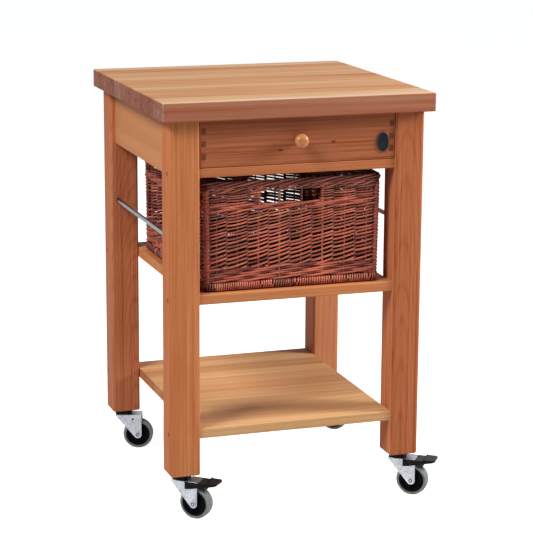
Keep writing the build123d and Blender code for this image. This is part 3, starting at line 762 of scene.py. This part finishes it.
def makeMoulded(name, moulded, axle=None):
    # moulded plastic or rubber; wheels also have rings round their axle
    moulded = {**skin, **moulded}
    material, tree, coordinates = startMaterial(name)
    here = coordinates["Object"]
    mottle = noise(tree, here, moulded["mottleRate"], detail=3.0)
    pores = noise(tree, here, moulded["poreRate"], detail=2.0)
    height = math2(tree, "MULTIPLY", pores, moulded["poreDepth"])
    value = layered(tree, (mottle, moulded["mottle"]), (pores, moulded["pores"]))
    if axle:
        radius = axleDistance(tree, here, axle)
        for start, end, lift, paintedRingLight in moulded["rings"]:
            half = (end - start) / 2
            edge = (half - moulded["ringBlur"], half + moulded["ringBlur"])
            ring = ringMask(tree, radius, (start + end) / 2, *edge)
            height = plus(tree, height, ring, lift)
            # raised rings are painted lighter and sunk ones darker, as painted highlight and shade
            value = plus(tree, value, ring, paintedRingLight)
    stops = [(p, rgba(c)) for p, c in zip(moulded["stops"], moulded["colours"])]
    colour = colourRamp(tree, value, stops)
    roughness = mapRange(tree, mottle, 0.3, 0.7, *moulded["roughness"])
    addSurface(tree, moulded, colour, roughness, height)
    return material


# rings are start and end radius, lift and how much lighter, as painted highlight on raised rings and
# painted shade in a sunk one
mouldings = {
    "blackPlastic": {
        "colours": ((9, 9, 11), (16, 16, 19), (40, 41, 46)),
        "poreRate": 1500.0,
        "roughness": (0.24, 0.40),
        "specular": 0.06,
        "bump": 0.10,
        "rings": (),
    },
    "hubPlastic": {
        "colours": ((4, 4, 6), (9, 9, 12), (30, 31, 36)),
        "poreRate": 1500.0,
        "roughness": (0.32, 0.46),
        "specular": 0.012,
        "bump": 0.10,
        "rings": (
            (0.0085, 0.0130, 0.9, 0.10),
            (0.0170, 0.0205, 0.9, 0.10),
            (0.0240, 0.0262, 0.9, 0.14),
        ),
    },
    "greyRubber": {
        "colours": ((82, 90, 88), (112, 120, 118), (156, 163, 160)),
        "poreRate": 1100.0,
        "roughness": (0.62, 0.80),
        "specular": 0.25,
        "bump": 0.10,
        "rings": ((0.0262, 0.0285, -0.5, -0.14), (0.0318, 0.0340, 0.4, 0.16)),
    },
    "brakeRubber": {
        "colours": ((38, 38, 40), (52, 52, 54), (74, 74, 76)),
        "poreRate": 1100.0,
        "roughness": (0.66, 0.82),
        "specular": 0.25,
        "bump": 0.16,
        "rings": (),
    },
}
for slotName, finishName in (("black_plastic", "blackPlastic"), ("brake_rubber", "brakeRubber")):
    plain = [n for n in nodesOfSlot[slotName] if not n.startswith("wheel_")]
    dress(plain, makeMoulded(finishName, mouldings[finishName]))
for corner, joint in wheelJoints.items():
    for part, finishName in (("hub", "hubPlastic"), ("tyre", "greyRubber")):
        finish = makeMoulded(f"{finishName}.{corner}", mouldings[finishName], joint)
        dress([f"wheel_{part}_{corner}"], finish)


def newCurve(name, depth, resolution):
    curve = bpy.data.curves.new(name, "CURVE")
    curve.dimensions = "3D"
    curve.bevel_depth = depth
    curve.bevel_resolution = resolution
    return curve


def addLine(curve, points, closed):
    line = curve.splines.new("POLY")
    line.points.add(len(points) - 1)
    for target, place in zip(line.points, points):
        target.co = (*place, 1.0)
    line.use_cyclic_u = closed
    return line


def curveToPiece(curve, body, replaced=()):
    name = curve.name
    holder = bpy.data.objects.new(name, curve)
    scene.collection.objects.link(holder)
    evaluated = holder.evaluated_get(bpy.context.evaluated_depsgraph_get())
    mesh = bpy.data.meshes.new_from_object(evaluated)
    bpy.data.objects.remove(holder)
    bpy.data.curves.remove(curve)
    mesh.name = name
    piece = bpy.data.objects.new(name, mesh)
    scene.collection.objects.link(piece)
    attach(piece, body)
    if replaced:
        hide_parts(*replaced)
    print(name, len(mesh.polygons), "faces")
    return piece


badge = {
    "rimRadius": 0.0008,
    "rimInset": 0.0012,
    "rimPoints": 48,
    "face": ((16, 18, 20), (26, 29, 31), (44, 47, 49)),
    "rim": ((44, 46, 48), (74, 77, 78), (112, 114, 112)),
    "roughness": (0.34, 0.48),
    "specular": 0.10,
}


def makeBadge(spec):
    # bare oval plate with a fine raised rim
    low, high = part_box("drawer_badge")
    middle = (low + high) / 2
    halfWide = (high.x - low.x) / 2 - spec["rimInset"]
    halfTall = (high.z - low.z) / 2 - spec["rimInset"]
    points = []
    for index in range(spec["rimPoints"]):
        angle = math.tau * index / spec["rimPoints"]
        x = middle.x + halfWide * math.cos(angle)
        points.append((x, low.y, middle.z + halfTall * math.sin(angle)))
    curve = newCurve("badge_rim", spec["rimRadius"], 2)
    addLine(curve, points, closed=True)
    piece = curveToPiece(curve, "drawer")
    plate = {**mouldings["blackPlastic"], "roughness": spec["roughness"], "specular": spec["specular"]}
    piece.data.materials.append(makeMoulded("badgeRim", {**plate, "colours": spec["rim"]}))
    dress(["drawer_badge"], makeMoulded("badgeFace", {**plate, "colours": spec["face"]}))


makeBadge(badge)
print("metal, plastic and rubber dressed")

# heights are above the floor; turns are counted in stakes from the middle of the front, anticlockwise
basket = {
    "stakesAcross": 16,             # bays along the front and the back, an even number
    "stakesDeep": 20,               # bays along each side
    "outerRadius": 0.026,           # plan corner
    "wallInset": 0.0045,            # from the outside to the wall's middle line
    "taper": 0.004,                 # narrower at the foot, each side
    "bulge": 0.001,                 # walls belly out by this much
    "swing": 0.0026,                # how far a strand passes in front of or behind the wall's middle
    "windowStakes": 3,              # the windows reach this many stakes to each side of the middle
    "windowShift": 0.0065,          # windows and their stakes to the left of the basket's middle
    "waleHeight": 0.0026,           # half the height of one thick row
    "lowWales": (0.5150, 0.5225, 0.5300, 0.5375),
    "middleWales": (0.6660, 0.6725),
    "rimWales": (0.7072, 0.7132),
    "borderHeight": 0.7190,
    "footMiddle": 0.5013,
    "strandDepth": 0.001,           # curves are drawn this thick, and each strand scales it
    "thickness": (0.88, 1.12),      # strands vary by this much
    "coreStep": 0.5,                # stakes between the points of a core
    "tints": (0.64, 0.86, 0.91, 0.93, 1.0),     # shares of the wicker colours, added up
    "seed": 20,
}
wallLow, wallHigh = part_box("basket_walls")
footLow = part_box("basket_foot")[0].z
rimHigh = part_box("basket_rim")[1].z
willow = random.Random(basket["seed"])
stakeTotal = 2 * (basket["stakesAcross"] + basket["stakesDeep"])

wicker = {
    "colours": {
        "wickerRed": (173, 90, 69),
        "wickerBrown": (134, 70, 55),
        "wickerTan": (188, 116, 85),
        "wickerGrey": (118, 78, 58),
        "wickerDark": (100, 41, 30),
        # near black, painted shade in the gaps between strands
        "wickerShadeCore": (52, 25, 20),
    },
    "driftRate": 24.0,
    "drift": 0.7,
    "barkRate": (420.0, 420.0, 1500.0),
    "bark": 0.5,
    "rubbedRate": 160.0,
    "rubbedEdge": (0.60, 0.74),
    "rubbed": 0.22,
    "stops": (0.36, 0.58, 0.86),
    "dark": 0.45,                   # share of the colour
    "light": (1.5, 0.02),           # share of the colour, and what is added
    "insideShadeEdge": (0.006, 0.012),   # how deep inside the wall the painted shade begins and is full
    "insideShadeTint": (150, 138, 134),
    "gloss": (0.36, 0.54),
    "specular": 0.35,
    "bump": 0.22,
    "bumpDistance": 0.0004,
}


def makeWicker(name, colour):
    # stained and lacquered willow: tone drifts along a rod, with bark streaks and paler rubbed spots
    material, tree, coordinates = startMaterial(name)
    here = coordinates["Object"]
    drift = noise(tree, here, wicker["driftRate"], detail=2.0)
    bark = noise(tree, here, wicker["barkRate"], detail=3.0, roughness=0.65)
    rubbed = mapRange(tree, noise(tree, here, wicker["rubbedRate"], detail=2.0), *wicker["rubbedEdge"])
    value = layered(tree, (drift, wicker["drift"]), (bark, wicker["bark"]), (rubbed, wicker["rubbed"]))
    share, lift = wicker["light"]
    plain = linear(colour)
    dark = [c * wicker["dark"] for c in plain]
    light = [min(1, c * share + lift) for c in plain]
    stops = [(p, (*c, 1.0)) for p, c in zip(wicker["stops"], (dark, plain, light))]
    # strands deep inside the wall are darkened, as painted shade inside the basket
    depth = depthInside(tree, here, wallLow, wallHigh)
    shadeInside = mapRange(tree, math2(tree, "MINIMUM", depth["X"], depth["Y"]), *wicker["insideShadeEdge"])
    shadedInside = tinted(tree, colourRamp(tree, value, stops), wicker["insideShadeTint"], shadeInside)
    roughness = mapRange(tree, bark, 0.3, 0.7, *wicker["gloss"])
    addSurface(tree, wicker, shadedInside, roughness, bark)
    return material


wickerTints = [makeWicker(name, colour) for name, colour in wicker["colours"].items()]
tintNumber = {name: number for number, name in enumerate(wicker["colours"])}


def basketSides():
    # the wall's middle line in plan, anticlockwise from the front left corner post
    wall = basket["wallInset"]
    cornerRadius = basket["outerRadius"] - wall
    width = wallHigh.x - wallLow.x - 2 * wall
    depth = wallHigh.y - wallLow.y - 2 * wall
    middle = Vector(((wallLow.x + wallHigh.x) / 2, (wallLow.y + wallHigh.y) / 2))
    sides = []
    start = -basket["stakesAcross"] / 2
    for along, outward, length, reach, count in (
        ((1, 0), (0, -1), width, depth / 2, basket["stakesAcross"]),
        ((0, 1), (1, 0), depth, width / 2, basket["stakesDeep"]),
        ((-1, 0), (0, 1), width, depth / 2, basket["stakesAcross"]),
        ((0, -1), (-1, 0), depth, width / 2, basket["stakesDeep"]),
    ):
        straight = length - 2 * cornerRadius
        sideMiddle = middle + Vector(outward) * reach
        sides.append((start, count, sideMiddle, Vector(along), Vector(outward), straight))
        start += count
    return sides, cornerRadius


wallSides, wallCorner = basketSides()


def aroundWall(turn):
    # gives the point in plan, the outward direction and the share along the side
    first = wallSides[0][0]
    turn = (turn - first) % stakeTotal + first
    for start, count, middle, along, outward, straight in wallSides:
        if turn <= start + count:
            break
    share = (turn - start) / count - 0.5
    distance = share * (straight + wallCorner * math.pi / 2)
    if start == first:
        distance -= basket["windowShift"] * math.cos(math.pi * share)
    beyond = abs(distance) - straight / 2
    if beyond <= 0:
        return middle + along * distance, outward, share
    sign = math.copysign(1, distance)
    angle = beyond / wallCorner
    centre = middle + along * sign * straight / 2 - outward * wallCorner
    turned = outward * math.cos(angle) + along * sign * math.sin(angle)
    return centre + turned * wallCorner, turned, share


def onWall(turn, height, out):
    point, outward, share = aroundWall(turn)
    rise = (height - footLow) / (rimHigh - footLow)
    belly = basket["bulge"] * math.cos(math.pi * share) * math.sin(math.pi * min(1, max(0, rise)))
    point = point + outward * (out + belly - basket["taper"] * (1 - rise))
    return (point.x, point.y, height)


def newStrands(name):
    curve = newCurve(name, basket["strandDepth"], 1)
    curve.use_fill_caps = True
    curve.twist_mode = "MINIMUM"
    for material in wickerTints:
        curve.materials.append(material)
    return curve


def pickTint(tints):
    draw = willow.random()
    return sum(draw > share for share in tints)


def addStrand(curve, points, radius, closed=False, tint=None, tints=None, swell=None):
    line = addLine(curve, points, closed)
    thickness = radius / curve.bevel_depth * willow.uniform(*basket["thickness"])
    for index, target in enumerate(line.points):
        target.radius = thickness * (swell[index] if swell else 1.0)
    line.use_smooth = True
    line.material_index = tint if tint is not None else pickTint(tints or basket["tints"])


def stakeRange(start, stop, step):
    count = round((stop - start) / step)
    return [start + (stop - start) * i / count for i in range(count + 1)]


def allRound(step):
    return stakeRange(0, stakeTotal, step)[:-1]


def addCore(curve, height, radius):
    ring = [onWall(turn, height, 0) for turn in allRound(basket["coreStep"])]
    # the core is near black, as painted shade in the gaps between strands
    addStrand(curve, ring, radius, closed=True, tint=tintNumber["wickerShadeCore"])


def pastCorner(turn):
    # 0 on the front, 1 on the sides and the back
    fromMiddle = min(turn % stakeTotal, -turn % stakeTotal)
    return min(1, max(0, fromMiddle - basket["stakesAcross"] / 2))


def between(pairs, place):
    for (start, low), (end, high) in zip(pairs, pairs[1:]):
        if place <= end:
            break
    return low + (high - low) * (place - start) / (end - start)


weave = {
    "rodCount": 31,                 # rods that climb round the basket side by side
    "rodRadii": (0.0025, 0.0016),   # they are thick at the foot and thin at their tips
    "rodPitches": (0.0096, 0.0058), # height between the slanting strokes, at the foot and at the tips
    "rodBreaks": 0.45,              # how often a new rod takes over behind an even stake
    "rodLift": 0.0008,
    "slowWave": 0.0014,
    "slowStakes": 12,               # stakes in one slow wave
    "quickWave": 0.0005,
    "quickRate": 1.7,
    "settle": 6,                    # waves come in over the first sixth of the climb and go in the last
    "strokeReach": 1.10,            # a stroke passes one odd stake and ends just behind the even ones
    "strokeTilt": 0.25,             # its ends rise and fall by this share of the pitch
    "strokeRound": 2.5,
    "strokeStep": 0.2,
    "shortestStroke": 0.3,
    # how much thicker the strokes are, by turn, and near the foot by the share of the climb
    "closeTurns": (
        (0, 1.0), (8, 1.0), (9, 1.8), (27, 1.8), (28.6, 1.5), (33, 1.5),
        (34, 2.05), (43, 2.05), (45, 0.96), (63, 0.96), (64, 1.0), (72, 1.0),
    ),
    "closeFoot": ((0.0, 1.9), (0.12, 1.9), (0.26, 1.0), (1.0, 1.0)),
    # darker tints for the left side, as painted shade
    "leftShadeTints": (0.16, 0.60, 0.61, 0.63, 1.0),
}

band = {
    "pitch": 0.0054,                # rows beside the windows
    "radius": 0.0020,
    "clear": (2.6, 1.2),            # above and below the thick rows, in their half heights
    "wave": 0.0006,
    "waveRate": 0.9,
    # turn round the stake at a window's edge: stakes along, and share of the swing
    "windowEnd": ((0.35, -1.0), (0.0, -1.0), (-0.18, -0.4), (-0.18, 0.4)),
    # how much thicker the rows are, by turn
    "close": (
        (0, 0.80), (8, 0.80), (9, 1.35), (29, 1.35),
        (30, 1.1), (43, 1.1), (44, 0.95), (72, 0.95),
    ),
    "tints": (0.20, 0.64, 0.65, 0.67, 1.0),
}


def strokeOut(fromOdd):
    # in front of its odd stake, behind even ones
    return basket["swing"] * (1 - 2 * abs(fromOdd) ** weave["strokeRound"])


def weaveBody():
    curve = newStrands("basket_weave")
    low = basket["lowWales"][-1]
    high = basket["middleWales"][0] - basket["waleHeight"]
    firstPitch, lastPitch = weave["rodPitches"]
    meanPitch = (firstPitch + lastPitch) / 2
    stakesUp = (high - low) * stakeTotal / (meanPitch * weave["rodCount"])
    firstRadius, lastRadius = weave["rodRadii"]
    reach = weave["strokeReach"]
    settle = weave["settle"]
    leftStart, leftCount = wallSides[3][:2]
    for rod in range(weave["rodCount"]):
        start = rod * stakeTotal / weave["rodCount"]
        lift = willow.uniform(-weave["rodLift"], weave["rodLift"])
        phase = willow.uniform(0, math.tau)
        tint = pickTint(basket["tints"])
        odd = 2 * math.floor(start / 2) + 1
        while odd - reach < start + stakesUp:
            points = []
            swell = []
            first = max(odd - reach, start)
            last = min(odd + reach, start + stakesUp)
            longEnough = last - first > weave["shortestStroke"]
            for turn in stakeRange(first, last, weave["strokeStep"]) if longEnough else ():
                share = (turn - start) / stakesUp
                pitch = firstPitch + (lastPitch - firstPitch) * share
                climb = share * (firstPitch + pitch) / 2 / meanPitch
                wave = weave["slowWave"] * math.sin(math.tau * turn / weave["slowStakes"])
                wave = wave + weave["quickWave"] * math.sin(weave["quickRate"] * turn + phase)
                wave = (wave + lift) * min(1, settle * share, settle - settle * share)
                tilt = weave["strokeTilt"] * pitch * (turn - odd)
                height = low + (high - low) * climb + (wave + tilt)
                points.append(onWall(turn, height, strokeOut(turn - odd)))
                closeHere = between(weave["closeTurns"], turn % stakeTotal)
                closeLow = between(weave["closeFoot"], share) * pastCorner(turn)
                taper = 1 + (lastRadius / firstRadius - 1) * share
                swell.append(max(closeHere, closeLow) * taper)
            if points:
                addStrand(curve, points, firstRadius, tint=tint, swell=swell)
            odd += 2
            # the left side is darker with painted shade, up to its last stroke before the front
            alongLeft = (odd - leftStart) % stakeTotal
            inLeftShade = 0 < alongLeft < leftCount - 2
            if willow.random() < weave["rodBreaks"] or 0 < alongLeft < leftCount:
                tint = pickTint(weave["leftShadeTints"] if inLeftShade else basket["tints"])
    weaveBand(curve)
    curveToPiece(curve, "basket", ["basket_walls"])


def windowEnd(odd, side, height):
    return [onWall(odd + side * dt, height, out * basket["swing"]) for dt, out in band["windowEnd"]]


def weaveBand(curve):
    # short rows beside the windows, turned round the stakes at the windows' edges
    firstOdd = basket["windowStakes"]
    lastOdd = stakeTotal - firstOdd
    reach = weave["strokeReach"]
    tilt = weave["strokeTilt"] * band["pitch"]
    above, below = band["clear"]
    height = basket["middleWales"][1] + above * basket["waleHeight"]
    while height < basket["rimWales"][0] - below * basket["waleHeight"]:
        phase = willow.uniform(0, math.tau)
        for odd in range(firstOdd, lastOdd + 1, 2):
            first = odd if odd == firstOdd else odd - reach
            last = odd if odd == lastOdd else odd + reach
            points = []
            for turn in stakeRange(first, last, weave["strokeStep"]):
                waver = band["wave"] * math.sin(band["waveRate"] * turn + phase) + tilt * (turn - odd)
                points.append(onWall(turn, height + waver, strokeOut(turn - odd)))
            if odd == firstOdd:
                points = windowEnd(odd, 1, height) + points
            if odd == lastOdd:
                points += reversed(windowEnd(odd, -1, height))
            addStrand(curve, points, band["radius"] * between(band["close"], odd), tints=band["tints"])
        height += band["pitch"]


# rods twisted into thick rows: how many, the stakes in one turn of the twist,
# and how far and how long they stay in front
wales = {
    "twin": {
        "rods": 2,
        "turn": 6,
        "front": (1.8, 0.1),
        "rise": 0.0027,
        "radius": 0.0025,
        "tints": (0.80, 0.94, 0.96, 0.97, 1.0),
    },
    "rim": {
        "rods": 3,
        "turn": 3,
        "front": (1.33, 0.33),
        "rise": 0.0036,
        "radius": 0.0018,
        "tints": (0.14, 0.60, 0.61, 0.62, 1.0),
    },
    "step": 0.25,
    "rowShift": 1.4,
    "outMost": 1.15,
    "wobble": 0.0005,
    "wobbles": 5,                   # round the basket
    "wobbleShift": 2.1,
    "sideSwell": 0.5,               # thicker on the sides and the back by this share
}


def twistWales(curve, heights, wale):
    # each rod climbs in front of its stakes and comes down behind the next
    far, longer = wale["front"]
    for row, level in enumerate(heights):
        for rod in range(wale["rods"]):
            offset = wale["turn"] * rod / wale["rods"] + row * wales["rowShift"]
            points = []
            swell = []
            for turn in allRound(wales["step"]):
                phase = math.tau * (turn - offset) / wale["turn"]
                out = basket["swing"] * max(-1, min(wales["outMost"], far * math.cos(phase) + longer))
                around = math.tau * turn * wales["wobbles"] / stakeTotal
                wobble = wales["wobble"] * math.sin(around + wales["wobbleShift"] * row)
                points.append(onWall(turn, level + wale["rise"] * math.sin(phase) + wobble, out))
                swell.append(1 + wales["sideSwell"] * pastCorner(turn))
            addStrand(curve, points, wale["radius"], closed=True, tints=wale["tints"], swell=swell)


def weaveWales():
    curve = newStrands("basket_wales")
    twistWales(curve, basket["lowWales"] + basket["middleWales"], wales["twin"])
    curveToPiece(curve, "basket")


stakes = {
    "foot": 0.505,
    "radius": 0.0016,
    "setBack": 0.0036,              # even stakes stand this far back, under the strokes
    "lean": 0.05,
    "windowRadius": 0.0023,         # posts of the windows
    "paleStake": 3,
    "tints": (0.52, 0.86, 0.86, 0.90, 1.0),
}


def weaveStakes():
    curve = newStrands("basket_stakes")
    corners = {side[0] % stakeTotal for side in wallSides}
    edge = basket["windowStakes"]
    low = stakes["foot"]
    for stake in range(stakeTotal):
        if stake in corners:
            continue
        fromMiddle = min(stake, stakeTotal - stake)
        cut = fromMiddle < edge and fromMiddle % 2 == 0
        top = basket["middleWales"][1] if cut else basket["borderHeight"]
        lean = willow.uniform(-stakes["lean"], stakes["lean"])
        out = 0 if stake % 2 else -stakes["setBack"]
        points = []
        for share in (0, 0.25, 0.5, 0.75, 1):
            points.append(onWall(stake + lean * share, low + (top - low) * share, out))
        besideWindow = fromMiddle <= edge and fromMiddle % 2
        radius = stakes["windowRadius" if besideWindow else "radius"]
        tint = tintNumber["wickerTan"] if stake == stakes["paleStake"] else None
        addStrand(curve, points, radius, tint=tint, tints=stakes["tints"])
    curveToPiece(curve, "basket")


posts = {
    "radius": 0.0060,
    "wrapRadius": 0.0019,
    "pitch": 0.0040,
    "steps": 9,                     # points in one turn of the wrap
    "wobble": 0.0008,
    "wobbleRate": 0.37,
}


def wrapPosts():
    # thick corner posts, wound closely from the foot to the rim
    curve = newStrands("basket_posts")
    low, high = basket["footMiddle"], basket["rimWales"][0]
    steps = round((high - low) / posts["pitch"]) * posts["steps"]
    for side in wallSides:
        corner = side[0]
        core = [onWall(corner, height, 0) for height in (low, (low + high) / 2, high)]
        # near-black core, painted shade between the wraps
        addStrand(curve, core, posts["radius"], tint=tintNumber["wickerShadeCore"])
        points = []
        for step in range(steps + 1):
            x, y, z = onWall(corner, low + (high - low) * step / steps, 0)
            angle = math.tau * step / posts["steps"]
            reach = posts["radius"] + posts["wobble"] * math.sin(posts["wobbleRate"] * step)
            points.append((x + reach * math.cos(angle), y + reach * math.sin(angle), z))
        addStrand(curve, points, posts["wrapRadius"], tint=tintNumber["wickerRed"])
    curveToPiece(curve, "basket")


border = {
    "strands": 5,
    "swing": (0.0060, 0.0054),      # outwards and upwards
    "radius": 0.0019,
    "twist": 7.2,                   # stakes for one turn of the twist
    "step": 0.2,
    "core": 0.6,                    # share of the upward swing
    "tints": ("wickerDark", "wickerBrown"),
}


def twistBorder():
    curve = newStrands("basket_border")
    twistWales(curve, basket["rimWales"], wales["rim"])
    outSwing, upSwing = border["swing"]
    level = basket["borderHeight"]
    addCore(curve, level, border["core"] * upSwing)
    for strand in range(border["strands"]):
        points = []
        for turn in allRound(border["step"]):
            phase = math.tau * (turn / border["twist"] + strand / border["strands"])
            points.append(onWall(turn, level + upSwing * math.sin(phase), outSwing * math.cos(phase)))
        tint = tintNumber[border["tints"][strand % 2]]
        addStrand(curve, points, border["radius"], closed=True, tint=tint)
    curveToPiece(curve, "basket", ["basket_rim"])


foot = {
    "swing": (0.0070, 0.0080),      # outwards and upwards
    "radius": 0.0019,
    "pitch": 0.0052,
    "steps": 8,                     # points in one turn of the wrap
    "squareness": (0.7, 0.8),       # outwards and upwards, 1 is round
    "coreInset": 0.0022,
    "upperCore": 0.6,               # a thinner core on top of the first
    "runs": (1, 2, 2, 3, 4, 6),     # turns of one rod
    "skips": (0, 0, 0.35),          # gap before the next
    "tints": (0.60, 0.68, 0.98, 0.98, 1.0),
    # darker wraps on the sides and the back, as painted shade
    "sideShadeTints": (0.10, 0.50, 0.51, 0.53, 1.0),
}


def squared(value, power):
    return math.copysign(abs(value) ** power, value)


def wrapFoot():
    # the foot is a thick ring, wound closely with one rod after another
    curve = newStrands("basket_binding")
    outSwing, upSwing = foot["swing"]
    outPower, upPower = foot["squareness"]
    steps = foot["steps"]
    middle = basket["footMiddle"]
    core = min(foot["swing"]) - foot["coreInset"]
    addCore(curve, middle, core)
    addCore(curve, middle + core, foot["upperCore"] * core)
    around = sum(side[5] + wallCorner * math.pi / 2 for side in wallSides)
    wraps = round(around / foot["pitch"])
    wrap = 0
    while wrap < wraps:
        run = min(math.ceil(wraps - wrap), willow.choice(foot["runs"]))
        points = []
        for step in range(run * steps + 1):
            angle = math.tau * step / steps
            out = squared(math.cos(angle), outPower) * outSwing
            up = squared(math.sin(angle), upPower) * upSwing
            points.append(onWall(stakeTotal * (wrap + step / steps) / wraps, middle + up, out))
        # wraps on the sides and the back are darker, as painted shade
        onSide = pastCorner(stakeTotal * wrap / wraps)
        addStrand(curve, points, foot["radius"], tints=foot["sideShadeTints" if onSide else "tints"])
        wrap += run + willow.choice(foot["skips"])
    curveToPiece(curve, "basket", ["basket_foot"])


base = {
    "bays": 16,
    "inset": 0.004,
    "stickRadius": 0.0028,
    "pitch": 0.0066,
    "radius": 0.0022,
    "wave": 0.0022,
    "rowEnds": (0.3, 15.7),         # in bays
    "step": 0.25,
}


def weaveBase():
    curve = newStrands("basket_floor")
    low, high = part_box("basket_base")
    middle = (low.z + high.z) / 2
    front, back = low.y + base["inset"], high.y - base["inset"]
    bay = (high.x - low.x) / base["bays"]
    for stick in range(1, base["bays"]):
        x = low.x + stick * bay
        addStrand(curve, [(x, front, middle), (x, 0, middle), (x, back, middle)], base["stickRadius"])
    deep = high.y - low.y - 2 * base["inset"]
    rows = int(deep / base["pitch"])
    for row in range(rows):
        y = front + (row + 0.5) * deep / rows
        points = []
        for step in stakeRange(*base["rowEnds"], base["step"]):
            wave = base["wave"] * math.cos(math.pi * (step + row))
            points.append((low.x + step * bay, y, middle + wave))
        addStrand(curve, points, base["radius"])
    curveToPiece(curve, "basket", ["basket_base"])


weaveBody()
weaveWales()
weaveStakes()
wrapPosts()
twistBorder()
wrapFoot()
weaveBase()
print("basket woven")
